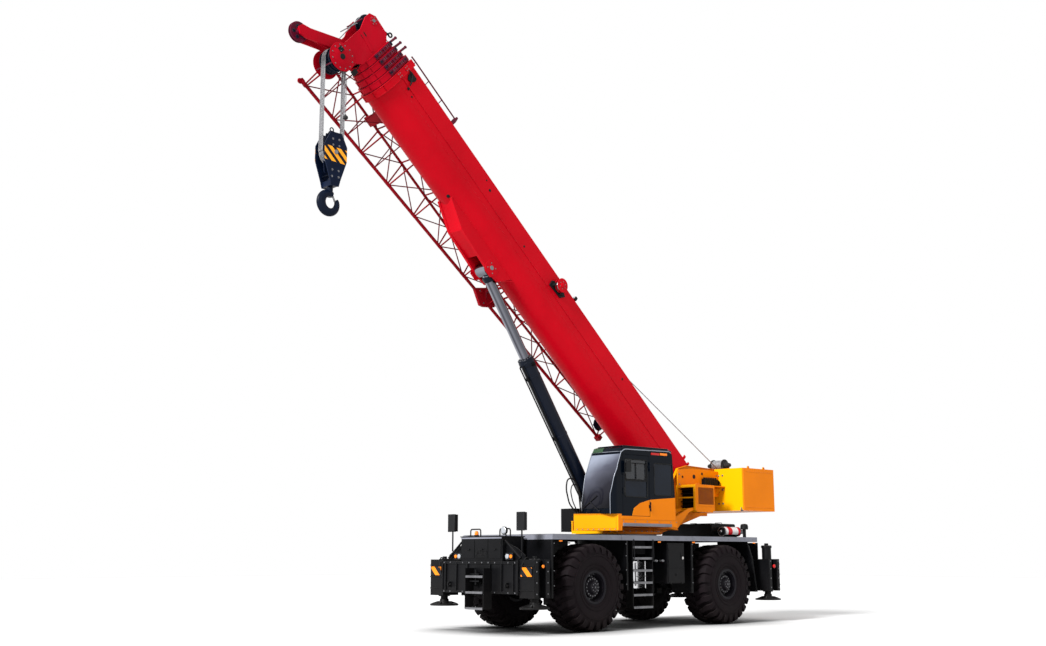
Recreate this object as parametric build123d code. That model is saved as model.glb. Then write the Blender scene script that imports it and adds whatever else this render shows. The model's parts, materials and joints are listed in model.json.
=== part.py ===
from build123d import *
import math
import os
from math import cos, sin, radians, pi, hypot, atan2, degrees

os.makedirs("parts", exist_ok=True)

# Two-axle rough-terrain mobile crane. Millimetres, +Z up, ground at Z=0.
# The origin is the slewing axis on the ground; the crane's front faces -Y and its left side is +X.

# ---------------------------------------------------------------- driving sizes
TYRE_R = 903.0          # outer radius of the tyre as it stands
TYRE_W = 745.0          # section width
TRACK_X = 1185.0        # middle plane of each wheel
AXLE_F, AXLE_R = -2400.0, 2080.0
KING_X = 850.0          # steering pin, inside the rim's dish
DECK_X, DECK_TOP, DECK_EDGE = 1399.0, 1986.0, 111.0
DECK_Y0, DECK_Y1 = -3524.0, 3433.0
ARCH = 1112.0           # wheel centre to the plates of its arch
FRAME_X = 380.0         # half width of the chassis frame between the wheels
BOX_X = 1180.0          # outrigger box half length
BOX_Z0, BOX_Z1 = 790.0, 1440.0
BOX_F, BOX_R = -4040.0, 3800.0   # outrigger boxes, middle
BOX_HALF = 240.0        # outrigger box half depth along Y
RING_R = 880.0
SLEW_Z = 2030.0         # underside of the turntable
PIV_Y, PIV_Z = 2000.0, 3300.0    # boom foot pin
ELEV = 42.0             # boom elevation at rest
CYL_Y, CYL_Z = -640.0, 2330.0    # lift cylinder's foot pin
EYE_X, EYE_Z = 7500.0, -912.0    # lift cylinder's rod pin, along and across the boom
TIP_X, TIP_Z, SHEAVE_R = 12950.0, -930.0, 240.0
CW_X, CW_Y0, CW_Y1, CW_Z0, CW_Z1 = 1351.0, 3007.0, 4299.0, 2622.0, 3647.0
CAB_X0, CAB_X1 = 417.0, 1322.0


# ---------------------------------------------------------------- helpers
def box(x0, x1, y0, y1, z0, z1):
    return Pos((x0 + x1) / 2, (y0 + y1) / 2, (z0 + z1) / 2) * Box(abs(x1 - x0), abs(y1 - y0), abs(z1 - z0))


def cyl(axis, at, r, length):
    """Cylinder centred on a point, its axis along X, Y or Z."""
    turn = {"X": Rot(0, 90, 0), "Y": Rot(90, 0, 0), "Z": Rot(0, 0, 0)}[axis]
    return Pos(*at) * turn * Cylinder(r, length)


def tube(axis, at, r_out, r_in, length):
    return cyl(axis, at, r_out, length) - cyl(axis, at, r_in, length + 2)


def rod(a, b, r):
    """Round bar from point to point."""
    a, b = Vector(*a), Vector(*b)
    d = b - a
    plane = Plane(origin=a, z_dir=d.normalized())
    return plane * Pos(0, 0, d.length / 2) * Cylinder(r, d.length)


def side_plate(pts, x0, x1):
    """Prism of a (Y, Z) outline between two X values."""
    face = Plane.YZ * make_face(Polyline(*[(p[0], p[1]) for p in pts], close=True))
    return Pos(x0, 0, 0) * extrude(face, x1 - x0)


def plan_plate(pts, z0, z1):
    """Prism of an (X, Y) outline between two Z values."""
    return Pos(0, 0, z0) * extrude(make_face(Polyline(*pts, close=True)), z1 - z0)


def front_plate(pts, y0, y1):
    """Prism of an (X, Z) outline between two Y values."""
    face = Plane.XZ * make_face(Polyline(*pts, close=True))
    return Pos(0, y1, 0) * extrude(face, y1 - y0)


def fuse(parts):
    out = parts[0]
    for p in parts[1:]:
        out = out + p
    return out


def mirror_x(s):
    return mirror(s, about=Plane.YZ)


def save(name, shape):
    solids = shape.solids()
    out = Compound(children=list(solids)) if len(solids) > 1 else solids[0]
    export_step(out, f"parts/{name}.step")
    b = out.bounding_box()
    print(f"{name:22s} solids {len(solids):2d} x {b.min.X:8.0f} {b.max.X:8.0f} y {b.min.Y:8.0f} {b.max.Y:8.0f} z {b.min.Z:8.0f} {b.max.Z:8.0f}")


# the boom is drawn level along -Y with its foot pin at the origin, then set at its elevation
BOOM = Pos(0, PIV_Y, PIV_Z) * Rot(-ELEV, 0, 0)


def on_boom(x, z, lateral=0.0):
    """Row-frame point of a place on the boom."""
    c, s = cos(radians(ELEV)), sin(radians(ELEV))
    return (lateral, PIV_Y - c * x + s * z, PIV_Z + s * x + c * z)


# ================================================================ carrier
# frame: two side beams, closed above and below between the outrigger boxes, with a raised seat for the slewing ring
FRAME_Z0, FRAME_Z1 = 1080.0, 1560.0
FRAME_Y0, FRAME_Y1 = BOX_F + BOX_HALF, BOX_R - BOX_HALF
beams = [box(s * 260, s * FRAME_X, FRAME_Y0, FRAME_Y1, FRAME_Z0, FRAME_Z1) for s in (-1, 1)]
cross = [box(-260, 260, y0, y1, FRAME_Z0 + 20, FRAME_Z1 - 20) for y0, y1 in ((FRAME_Y0, FRAME_Y0 + 60), (-1100, -1040), (1040, 1100), (FRAME_Y1 - 60, FRAME_Y1))]
top_plate = box(-FRAME_X, FRAME_X, FRAME_Y0, FRAME_Y1, FRAME_Z1, FRAME_Z1 + 20)
seat = cyl("Z", (0, 0, 1765), RING_R + 60, 370) - cyl("Z", (0, 0, 1765), 560, 400)
save("chassis_frame", fuse(beams + cross + [top_plate, seat]))

# deck: flat plate over the whole carrier with a hole for the slewing ring, its edge strip, and the wheel arches
deck = box(-DECK_X, DECK_X, DECK_Y0, DECK_Y1, DECK_TOP - 24, DECK_TOP) - cyl("Z", (0, 0, DECK_TOP), 1010, 200)
edge = [box(s * (DECK_X - 12), s * DECK_X, DECK_Y0, DECK_Y1, DECK_TOP - DECK_EDGE, DECK_TOP - 24) for s in (-1, 1)]
ends = [box(-DECK_X + 12, DECK_X - 12, y, y + 12, DECK_TOP - DECK_EDGE, DECK_TOP - 24) for y in (DECK_Y0, DECK_Y1 - 12)]
# columns: plate's inner and outer X, low Z at the outer edge; one pair fore and aft of each wheel
arch = []
for ya, low_front, low_back in ((AXLE_F, 700, 820), (AXLE_R, 720, 700)):
    for d, low in ((-1, low_front), (1, low_back)):
        y = ya + d * ARCH
        y0, y1 = (y, y + 12) if d > 0 else (y - 12, y)
        for s in (-1, 1):
            arch.append(box(s * FRAME_X, s * 760, y0, y1, 1300, DECK_TOP - 24))
            if ya > 0 and d > 0:
                guard = side_plate([(3060, 1810), (y0, 1480), (3350, low), (3362, low), (y1, 1484), (3074, 1812)], s * 760 if s > 0 else 12 - DECK_X, DECK_X - 12 if s > 0 else -760)
                arch.append(guard + box(s * 760, s * (DECK_X - 12), 3056, 3074, 1808, DECK_TOP - 24))
            else:
                arch.append(box(s * 760, s * (DECK_X - 12), y0, y1, low, DECK_TOP - 24))
save("deck_and_arches", fuse([deck] + edge + ends + arch))

# outrigger boxes: one across each end, each with two open bays side by side for its beams
BAY = BOX_HALF - 24 - 10
boxes = []
for yc in (BOX_F, BOX_R):
    b = box(-BOX_X, BOX_X, yc - BOX_HALF, yc + BOX_HALF, BOX_Z0, BOX_Z1)
    for s in (-1, 1):
        b -= box(-BOX_X - 5, BOX_X + 5, yc + s * 10, yc + s * (10 + BAY), BOX_Z0 + 30, BOX_Z1 - 30)
    boxes.append(b)
LASH_X, LASH_Z = 890.0, 960.0
for i, (y, d) in enumerate(((BOX_F - BOX_HALF, -1), (BOX_R + BOX_HALF, 1))):
    for s in (-1, 1):
        lug = box(s * (LASH_X - 15), s * (LASH_X + 15), min(y, y + d * 50), max(y, y + d * 50), LASH_Z - 55, LASH_Z + 55) + cyl("X", (s * LASH_X, y + d * 50, LASH_Z), 55, 30)
        boxes[i] += lug - cyl("X", (s * LASH_X, y + d * 50, LASH_Z), 25, 40)
save("outrigger_boxes", Compound(children=boxes))

# axles: a housing with a round middle, end forks that hold the steering knuckles, and seats under the frame
FORK, KNUCKLE_H, PIN_R = 40.0, 210.0, 50.0
axles = []
for ya in (AXLE_F, AXLE_R):
    a = cyl("X", (0, ya, TYRE_R), 118, 1160)
    a += Pos(0, ya, TYRE_R) * Sphere(225).cut(box(-400, 400, -400, 400, FRAME_Z0 - 4 - TYRE_R, 400))
    for s in (-1, 1):
        a += box(s * 560, s * 640, ya - 90, ya + 90, TYRE_R - KNUCKLE_H - 8 - FORK, TYRE_R + KNUCKLE_H + 8 + FORK)
        for d in (-1, 1):
            z0 = TYRE_R + d * (KNUCKLE_H + 8)
            arm = box(s * 600, s * (KING_X + 90), ya - 85, ya + 85, min(z0, z0 + d * FORK), max(z0, z0 + d * FORK))
            arm -= cyl("Z", (s * KING_X, ya, z0 + d * FORK / 2), PIN_R + 0.05, FORK + 4)
            a += arm
        a += box(s * 270, s * 370, ya - 120, ya + 120, TYRE_R, FRAME_Z0)
    axles.append(a)
save("axle_housings", Compound(children=axles))

# slewing ring: lower race on the frame's seat
save("slewing_ring", tube("Z", (0, 0, 1987), RING_R, 720, 74))

# engine hood behind the turntable's sweep, with the engine as one block inside the frame's rear
HOOD = dict(x=780.0, y0=2480.0, y1=3400.0, z1=2300.0)
hood = box(-HOOD["x"], HOOD["x"], HOOD["y0"], HOOD["y1"], DECK_TOP, HOOD["z1"])
hood -= box(-HOOD["x"] + 30, HOOD["x"] - 30, HOOD["y0"] + 30, HOOD["y1"] - 30, DECK_TOP - 5, HOOD["z1"] - 30)
save("engine_hood", hood)
save("engine_block", box(-250, 250, 1250, 2500, 1600, 1955))
# exhaust silencer lying on the left of the deck, its tail pipe, and the air cleaner's cap
exhaust = cyl("Y", (1010, 2880, 2120), 105, 620)
exhaust += cyl("Y", (1010, 3230, 2120), 48, 120) + box(980, 1040, 2640, 2700, DECK_TOP, 2060) + box(980, 1040, 3060, 3120, DECK_TOP, 2060)
cap = cyl("Z", (1130, 3300, 2090), 40, 208) + cyl("Z", (1130, 3300, 2230), 85, 110)
save("exhaust_and_intake", Compound(children=[exhaust, cap]))

# tanks and boxes hung on the carrier's sides between the wheels
# columns: name, side, X inner, X outer, Y0, Y1, Z0, Z1
SIDE = [
    ("polished_tank", 1, 640, 1160, -840, -260, 850, 1430),
    ("left_toolbox", 1, 960, 1370, 100, 700, 945, 1830),
    ("right_tank", -1, 700, 1370, -700, 560, 860, 1560),
]
for name, s, xi, xo, y0, y1, z0, z1 in SIDE:
    b = box(s * xi, s * xo, y0, y1, z0, z1)
    b = fillet(b.edges().filter_by(Axis.X if "tank" in name else Axis.Z), 70 if "tank" in name else 14)
    hanger = [box(s * FRAME_X, s * xi, y, y + 40, max(z0, 1090) + 20, 1500) for y in (y0 + 60, y1 - 100)]
    save(name, fuse([b] + hanger))

# ladders on both sides between the wheels, and the steps at the front; separate rungs between two stringers
lad = []
for s in (-1, 1):
    y0, y1 = (-1080, -400) if s > 0 else (-1080, -740)
    lad += [box(s * 1180, s * 1380, y0 + 24, y1 - 24, z, z + 30) for z in (440, 700, 960, 1220, 1480, 1720)]
    lad += [box(s * 1180, s * 1380, y, y + 24, 440, DECK_TOP - DECK_EDGE) for y in (y0, y1 - 24)]
    lad += [box(s * FRAME_X, s * 1180, y, y + 24, 1440, 1530) for y in (y0, y1 - 24)]
lad += [box(-170, 370, BOX_F - BOX_HALF - 230, BOX_F - BOX_HALF - 10, z, z + 30) for z in (480, 800, 1120)]
lad += [box(x, x + 20, BOX_F - BOX_HALF - 230, BOX_F - BOX_HALF, 480, 1300) for x in (-190, 370)]
save("ladders", Compound(children=lad))

# cabinet across the front above the outrigger box, and a narrow one at the rear
front_cab = box(-640, 640, FRAME_Y0 - 420, FRAME_Y0 + 180, BOX_Z1, 1930) - box(-FRAME_X - 5, FRAME_X + 5, FRAME_Y0 - 2, FRAME_Y0 + 200, BOX_Z1 - 5, FRAME_Z1 + 24)
plate_f = front_plate([(640, BOX_Z1), (1180, BOX_Z1), (1180, 1560), (960, 1700), (640, 1820)], FRAME_Y0 - 300, FRAME_Y0 - 280)
plate_r = [box(s * 640, s * 1180, BOX_R - 60, BOX_R - 40, BOX_Z1, 1860) for s in (-1, 1)]
save("end_cabinets", Compound(children=[fuse([front_cab, plate_f, mirror_x(plate_f)])] + plate_r))

# mirrors on posts at the front corners
mir = []
for s in (-1, 1):
    x = s * 1080
    post = cyl("Z", (x, FRAME_Y0 - 290, 1980), 16, 2 * (1980 - 1640) + 0) + box(x - 120 if s > 0 else x - 110, x + 110 if s > 0 else x + 120, FRAME_Y0 - 330, FRAME_Y0 - 250, 2060, 2420)
    mir.append(post)

# work and turn lamps: front pair clusters and rear clusters
lamps = []
for s in (-1, 1):
    lamps.append(box(s * 700, s * 900, FRAME_Y0 - 380, FRAME_Y0 - 300, 1470, 1600))
    lamps.append(box(s * 700, s * 900, BOX_R - 40, BOX_R + 40, 1500, 1640))
save("mirrors_and_lamps", Compound(children=mir + lamps))

# ================================================================ wheels
RIM_R, RIM_IN, RIM_W = 318.0, 296.0, 630.0
HUB_X = KING_X + 210       # hub's inner face on the spindle
for end, ya in (("front", AXLE_F), ("rear", AXLE_R)):
    for side, s in (("left", 1), ("right", -1)):
        k = cyl("Z", (KING_X, ya, TYRE_R), 108, 2 * KNUCKLE_H)
        for d in (-1, 1):
            k += cyl("Z", (KING_X, ya, TYRE_R + d * (KNUCKLE_H + 20)), PIN_R, 44)
        k += cyl("X", (KING_X + 103, ya, TYRE_R), 150, 200)
        k += cyl("X", (KING_X + 260, ya, TYRE_R), 90, 320)
        k = k if s > 0 else mirror_x(k)
        save(f"knuckle_{end}_{side}", k)

        rim = tube("X", (TRACK_X, ya, TYRE_R), RIM_R, RIM_IN, RIM_W)
        for d in (-1, 1):
            rim += tube("X", (TRACK_X + d * (RIM_W / 2 - 14), ya, TYRE_R), 352, RIM_R - 2, 28)
        rim += cyl("X", (TRACK_X + 115, ya, TYRE_R), RIM_IN + 2, 44)
        rim += cyl("X", ((HUB_X + TRACK_X + 240) / 2, ya, TYRE_R), 205, TRACK_X + 240 - HUB_X)
        rim += cyl("X", (TRACK_X + 270, ya, TYRE_R), 120, 70)
        rim -= cyl("X", (HUB_X + 110, ya, TYRE_R), 90.06, 240)
        rim = rim if s > 0 else mirror_x(rim)
        save(f"rim_{end}_{side}", rim)

        # tyre outline in (X offset, radius): bead, sidewall bulge, rounded shoulder, tread
        w = TYRE_W / 2
        with BuildSketch(Plane.XY) as sk:
            with BuildLine():
                a = Line((-RIM_W / 2 + 28, RIM_R), (RIM_W / 2 - 28, RIM_R))
                b1 = Line(a @ 1, (RIM_W / 2 - 28, 352))
                c1 = Line(b1 @ 1, (RIM_W / 2 + 4, 372))
                d1 = ThreePointArc(c1 @ 1, (w, 560), (w - 16, 740))
                e1 = ThreePointArc(d1 @ 1, (w - 50, 850), (w - 95, TYRE_R - 14))
                f1 = ThreePointArc(e1 @ 1, (0, TYRE_R), (-w + 95, TYRE_R - 14))
                e2 = ThreePointArc(f1 @ 1, (-w + 50, 850), (-w + 16, 740))
                d2 = ThreePointArc(e2 @ 1, (-w, 560), (-RIM_W / 2 - 4, 372))
                c2 = Line(d2 @ 1, (-RIM_W / 2 + 28, 352))
                b2 = Line(c2 @ 1, (-RIM_W / 2 + 28, RIM_R))
            make_face()
        t = revolve(sk.sketch, Axis.X)
        save(f"tyre_{end}_{side}", Pos(s * TRACK_X, ya, TYRE_R) * t)

# ================================================================ outrigger beams and jacks
HOUSE_X0, HOUSE_X1, JACK_X = 1190.0, 1610.0, 1400.0
BEAM_H, JACK_R = 560.0, 78.0
for end, yc, top in (("front", BOX_F, 1470.0), ("rear", BOX_R, 1780.0)):
    for side, s in (("left", 1), ("right", -1)):
        bay = (10 + BAY / 2) * (-1 if s > 0 else 1)
        bw = BAY / 2 - 10
        zm = (BOX_Z0 + BOX_Z1) / 2
        beam = box(-1080, HOUSE_X0 + 40, yc + s * 0 + bay - bw, yc + bay + bw, zm - BEAM_H / 2, zm + BEAM_H / 2)
        beam -= box(-1090, HOUSE_X0 - 60, yc + bay - bw + 14, yc + bay + bw - 14, zm - BEAM_H / 2 + 14, zm + BEAM_H / 2 - 14)
        house = box(HOUSE_X0, HOUSE_X1, yc - 215, yc + 215, 720, 1470)
        house -= box(HOUSE_X0 + 60, HOUSE_X1 + 5, yc - 120, yc + 120, 715, 1475)
        barrel = cyl("Z", (JACK_X, yc, (700 + top) / 2), 112, top - 700) - cyl("Z", (JACK_X, yc, (700 + top) / 2 - 40), JACK_R + 5, top - 700)
        web = box(HOUSE_X0 + 40, JACK_X - 100, yc - 60, yc + 60, 760, 1440)
        b = fuse([beam, house, web, barrel])
        b = b if s > 0 else mirror_x(b)
        save(f"outrigger_beam_{end}_{side}", b)
        jack = cyl("Z", (JACK_X, yc, 960), JACK_R, 760) + cyl("Z", (JACK_X, yc, 560), 150, 60) + cyl("Z", (JACK_X, yc, 520), 300, 36)
        jack = jack if s > 0 else mirror_x(jack)
        save(f"outrigger_jack_{end}_{side}", jack)

# ================================================================ superstructure
CHEEK_X, CHEEK_T, FLOOR_Z = 450.0, 30.0, SLEW_Z + 50
base = cyl("Z", (0, 0, SLEW_Z + 25), 985, 50)
race = tube("Z", (0, 0, SLEW_Z - 34), 700, 575, 68)
CHEEK = [(-1050, FLOOR_Z), (-1050, 2315), (510, 2315), (700, 2620), (1440, 3330), (1620, 3600), (1960, 3680), (3007, 3640), (3007, 2640), (2400, 2480), (1000, FLOOR_Z)]
cheeks = []
for s in (-1, 1):
    c = side_plate(CHEEK, CHEEK_X if s > 0 else -CHEEK_X - CHEEK_T, CHEEK_X + CHEEK_T if s > 0 else -CHEEK_X)
    cheeks.append(c - cyl("X", (s * (CHEEK_X + 15), PIV_Y, PIV_Z), 70.06, 80))
ties = [box(-CHEEK_X, CHEEK_X, y0, y1, z0, z1) for y0, y1, z0, z1 in ((2700, 2740, 2560, 3100), (2440, 2740, 2500, 2560), (985, 1040, FLOOR_Z, 2280), (820, 1000, SLEW_Z, 2180), (-1050, -1010, FLOOR_Z - 40, 2110))]
floor = box(-CHEEK_X - CHEEK_T, CHEEK_X + CHEEK_T, -1050, 1000, SLEW_Z + 12, FLOOR_Z)
EAR = [(-960, FLOOR_Z), (-860, CYL_Z + 60), (CYL_Y - 60, CYL_Z + 190), (CYL_Y + 80, CYL_Z + 190), (-430, CYL_Z + 60), (-300, FLOOR_Z)]
ears = [side_plate(EAR, 210 if s > 0 else -250, 250 if s > 0 else -210) - cyl("X", (s * 230, CYL_Y, CYL_Z), 55.06, 60) for s in (-1, 1)]
save("turntable", fuse([base, race, floor] + cheeks + ties + ears))

# counterweight: a block across the tail, held on the cheeks' rear edge
cw = box(-CW_X, CW_X, CW_Y0, CW_Y1, CW_Z0, CW_Z1)
save("counterweight", chamfer(cw.edges().filter_by(Axis.Z), 24))

# hoist winch on the counterweight: drum between flanges on side stands
WINCH_Y, WINCH_Z = 3860.0, 3804.0
drum = cyl("X", (0, WINCH_Y, WINCH_Z), 108, 360)
for s in (-1, 1):
    drum += cyl("X", (s * 170, WINCH_Y, WINCH_Z), 150, 20)
    drum += side_plate([(WINCH_Y - 170, CW_Z1), (WINCH_Y - 70, WINCH_Z + 90), (WINCH_Y + 70, WINCH_Z + 90), (WINCH_Y + 170, CW_Z1)], 180 if s > 0 else -205, 205 if s > 0 else -180)
save("hoist_winch", drum)

# left cabinet behind the cab: cooler with an open front; plain cabinet on the right
IN = CHEEK_X + CHEEK_T
left = box(IN, 1060, 1540, 2260, 2590, 3200)
left -= box(IN + 50, 1010, 1535, 1800, 2650, 3140)
left += box(IN, 1060, 1600, 2200, 2560, 2592)
right = box(-1120, -IN, 760, 2900, 2500, 3200)
right -= box(-1125, -1090, 900, 1600, 2600, 3100)
save("side_cabinets", Compound(children=[left, right]))

# operator's platform: slanted nose in front of the cab and a sill under it
nose = plan_plate([(IN, -1965), (CAB_X1, -1450), (CAB_X1, -1340), (IN, -1340)], 2085, 2445)
nose -= plan_plate([(IN + 40, -1900), (CAB_X1 - 40, -1420), (CAB_X1 - 40, -1380), (IN + 40, -1380)], 2080, 2415)
save("cab_platform", Compound(children=[nose, box(IN, CAB_X1, -1340, 540, 2180, 2330)]))

# cab body: side outline crossed with a plan whose outer front corner is round; walls WALL thick
CAB_IN_X, WALL = 440.0, 45.0
CAB = [(-1660, 2445), (-1680, 2600), (-1560, 3250), (-1330, 3790), (-1230, 3850), (300, 3874), (400, 3820), (470, 2900), (480, 2330), (-1340, 2330), (-1340, 2445)]


def inset(points, d):
    """Outline moved inwards by d along every edge."""
    n, out = len(points), []
    area = sum(points[i][0] * points[(i + 1) % n][1] - points[(i + 1) % n][0] * points[i][1] for i in range(n))
    sign = 1 if area > 0 else -1
    lines = []
    for i in range(n):
        (x0, y0), (x1, y1) = points[i], points[(i + 1) % n]
        ln = ((x1 - x0) ** 2 + (y1 - y0) ** 2) ** 0.5
        nx, ny = -(y1 - y0) / ln * sign, (x1 - x0) / ln * sign
        lines.append((x0 + nx * d, y0 + ny * d, x1 - x0, y1 - y0))
    for i in range(n):
        ax, ay, adx, ady = lines[i - 1]
        bx, by, bdx, bdy = lines[i]
        k = ((bx - ax) * bdy - (by - ay) * bdx) / (adx * bdy - ady * bdx)
        out.append((ax + adx * k, ay + ady * k))
    return out


def cab_body(d):
    """The cab's outer skin moved inwards by d, as one solid."""
    side = side_plate(inset(CAB, d), CAB_IN_X + d, CAB_X1 - d)
    x0, x1, y0, y1 = CAB_IN_X + d, CAB_X1 - d, -1700 + d, 600 - d
    plan = Pos((x0 + x1) / 2, (y0 + y1) / 2) * Rectangle(x1 - x0, y1 - y0)
    front = plan.vertices().group_by(Axis.Y)[0].sort_by(Axis.X)
    plan = fillet(front[-1], 230 - d)
    plan = fillet(plan.vertices().group_by(Axis.Y)[0].sort_by(Axis.X)[0:1], 90 - d)
    return side & (Pos(0, 0, 2300) * extrude(plan, 1700))


DOOR = dict(y0=-1300.0, y1=-400.0, z0=2400.0, z1=3745.0, gap=8.0)
# window openings: X from, to, Y from, to, Z from, to
WINDOWS = [
    (600, 1120, -1800, -1100, 2610, 3690),    # windscreen
    (1200, 1400, -235, 400, 2880, 3590),      # left, behind the door
    (400, 520, -1150, 350, 2800, 3640),       # right
    (560, 1200, 250, 600, 2860, 3600),        # back
    (560, 1200, -1050, 60, 3700, 3900),       # roof
]
wall = cab_body(0) - cab_body(WALL)
shell, panes = wall, []
for w in WINDOWS:
    shell -= box(*w)
    panes.append(((cab_body(14) - cab_body(22)) & box(*w)).solids()[0])
door_cut = box(CAB_X1 - 120, CAB_X1 + 50, DOOR["y0"], DOOR["y1"], DOOR["z0"], DOOR["z1"])
shell -= door_cut
HINGE_X, HINGE_Y = CAB_X1 + 18, DOOR["y1"]
for z in (2620, 3500):
    for dz in (-70, 70):
        shell += cyl("Z", (HINGE_X, HINGE_Y, z + dz), 14, 60) + box(CAB_X1 - 2, HINGE_X, HINGE_Y + 12, HINGE_Y + 26, z + dz - 30, z + dz + 30) + box(HINGE_X - 8, HINGE_X, HINGE_Y, HINGE_Y + 26, z + dz - 30, z + dz + 30)
save("cab_shell", shell)
save("cab_glass", Compound(children=panes))
g = DOOR["gap"]
door = wall & box(CAB_X1 - 120, CAB_X1 + 50, DOOR["y0"] + g, DOOR["y1"] - g, DOOR["z0"] + g, DOOR["z1"] - g)
pane_box = box(CAB_X1 - 120, CAB_X1 + 50, -1215, -485, 2820, 3640)
door_pane = (cab_body(14) - cab_body(22)) & pane_box
door -= pane_box
for z in (2620, 3500):
    door += cyl("Z", (HINGE_X, HINGE_Y, z), 14, 70) + box(CAB_X1 - 2, HINGE_X, HINGE_Y - 40, HINGE_Y - 12, z - 34, z + 34) + box(HINGE_X - 8, HINGE_X, HINGE_Y - 40, HINGE_Y, z - 34, z + 34)
save("cab_door", door)
save("door_glass", door_pane)

# seat on its pedestal, levers' consoles and dashboard
SEAT_X = 880.0
cushion = side_plate([(-620, 2800), (-640, 2840), (-600, 2890), (-160, 2870), (-120, 2780), (-140, 2740), (-580, 2740)], SEAT_X - 240, SEAT_X + 240)
back = side_plate([(-118, 2790), (-118, 2900), (-60, 3420), (-20, 3560), (40, 3560), (50, 3430), (-30, 2790)], SEAT_X - 220, SEAT_X + 220)
stand = box(SEAT_X - 150, SEAT_X + 150, -540, -180, 2375, 2740)
arms = [side_plate([(-640, 2950), (-560, 3010), (-120, 3010), (-120, 2930), (-300, 2900), (-600, 2900)], SEAT_X + s * 300 - 50, SEAT_X + s * 300 + 50) for s in (-1, 1)]
posts = [box(SEAT_X + s * 300 - 40, SEAT_X + s * 300 + 40, -440, -300, 2375, 2900) for s in (-1, 1)]
save("cab_seat", Compound(children=[cushion, back, stand] + arms + posts))
dash = side_plate([(-1440, 2500), (-1500, 2980), (-1380, 3060), (-1230, 3020), (-1180, 2900), (-1260, 2500)], 640, 1060)
column = rod((SEAT_X, -1330, 2900), (SEAT_X, -1020, 3060), 30)
wheel = Pos(SEAT_X, -985, 3078) * Rot(-62, 0, 0) * Torus(180, 15)
hub = Pos(SEAT_X, -985, 3078) * Rot(-62, 0, 0) * (Cylinder(45, 30) + Box(350, 30, 12) + Box(30, 350, 12))
save("cab_console", fuse([dash, column, wheel, hub]))

# ================================================================ boom
# box section with a half-round belly: half width, top; the belly's centre height is common to all
BELLY = -308.0


def section(half, top):
    return Pos(0, (top + BELLY) / 2) * Rectangle(2 * half, top - BELLY) + Pos(0, BELLY) * Circle(half)


def along(sketch, x0, x1):
    """Solid of a boom section between two distances from the pivot, boom drawn level."""
    return extrude(Plane.XZ.offset(x0) * sketch, amount=x1 - x0)


def boom_box(x0, x1, lat0, lat1, z0, z1):
    return box(lat0, lat1, -x1, -x0, z0, z1)


def boom_plate(points, lat0, lat1):
    """Plate parallel to the boom's side: points are (distance along, height)."""
    return side_plate([(-x, z) for x, z in points], lat0, lat1)


# columns: name, half width, top, wall, rear end, front end
SECTIONS = [
    ("boom_base", 404, 368, 16, -350, 12000),
    ("boom_section_2", 372, 336, 14, 450, 12140),
    ("boom_section_3", 342, 306, 14, 550, 12280),
    ("boom_section_4", 312, 276, 14, 650, 12420),
    ("boom_head_section", 282, 246, 14, 750, 12560),
]
for i, (name, half, top, wall_t, x0, x1) in enumerate(SECTIONS):
    s = along(section(half, top), x0, x1) - along(section(half - wall_t, top - wall_t), x0 - 10, x1 + 10)
    # collar at the front end, its roller lugs standing above
    c0, c1 = x1 - (150 if i == 0 else 118), x1
    collar = along(section(half + 46, top + 46), c0, c1) - along(section(half - wall_t, top - wall_t), c0 - 10, c1 + 10)
    lugs = [boom_box(c0, c1, a - 30, a + 30, top + 40, top + 40 + 60 + 18 * (4 - i)) for a in (-150, 150)]
    parts = [s, collar] + lugs
    if name == "boom_base":
        parts += [boom_box(230, c0, a, b, -52, 368) for a, b in ((403, 414), (-414, -403))]
        for sgn in (-1, 1):
            pin = cyl("X", (sgn * 440, 0, 0), 70, 100)
            parts.append(pin)
            parts.append(cyl("X", (sgn * 406, 0, 0), 150, 36))
            parts.append(boom_plate([(6900, -560), (7180, EYE_Z - 80), (EYE_X - 90, EYE_Z - 120), (EYE_X + 90, EYE_Z - 120), (8600, -960), (9250, -690), (9250, -560)], 170 if sgn > 0 else -230, 230 if sgn > 0 else -170) - along(section(half - 4, top - 4), 6800, 9400) - cyl("X", (sgn * 200, -EYE_X, EYE_Z), 60.06, 80))
        parts.append(boom_plate([(7760, -560), (7900, -955), (8590, -955), (9200, -690), (9200, -560)], -172, 172) - along(section(half - 4, top - 4), 6800, 9400))
        # arms that hold the lattice jib along the right side
        for xb, zlo in ((6900, -760), (11300, -1050)):
            parts.append(boom_box(xb - 60, xb + 60, -585, -395, -160, -40))
    if name == "boom_head_section":
        for sgn in (-1, 1):
            cheek_h = boom_plate([(12560, 246), (12700, 400), (13100, 420), (13230, 330), (13230, 180), (13120, -100), (13120, TIP_Z - 60), (13020, TIP_Z - 120), (12880, TIP_Z - 120), (12760, -860), (12560, -600)], 262 if sgn > 0 else -290, 290 if sgn > 0 else -262)
            cheek_h -= cyl("X", (sgn * 276, -TIP_X, TIP_Z), 45.06, 60)
            cheek_h -= cyl("X", (sgn * 276, -13060, 300), 40.06, 60)
            parts.append(cheek_h)
            parts.append(boom_plate([(12900, -560), (13120, -560), (13780, -1130), (13900, -1180), (13900, -1290), (13760, -1300), (13100, -880), (12900, -800)], 90 if sgn > 0 else -110, 110 if sgn > 0 else -90) - cyl("X", (sgn * 100, -13820, -1240), 30.06, 40) - cyl("X", (sgn * 100, -TIP_X, TIP_Z), SHEAVE_R + 20, 60))
        parts += [boom_box(12600, 12640, -262, 262, -560, 200), boom_box(12900, 12960, -262, 262, -600, -540)]
    b = fuse(parts)
    if name == "boom_base":
        b -= cyl("X", (0, 0, 0), 55, 1000)
    save(name, BOOM * b)

# head sheaves: grooved wheels on the tip axle, the top axle and the nose axle
def sheave(x, z, lat, r, bore):
    w = cyl("X", (lat, -x, z), r, 34)
    w -= Pos(lat, -x, z) * Rot(0, 90, 0) * Torus(r + 4, 14)
    return w


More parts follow.
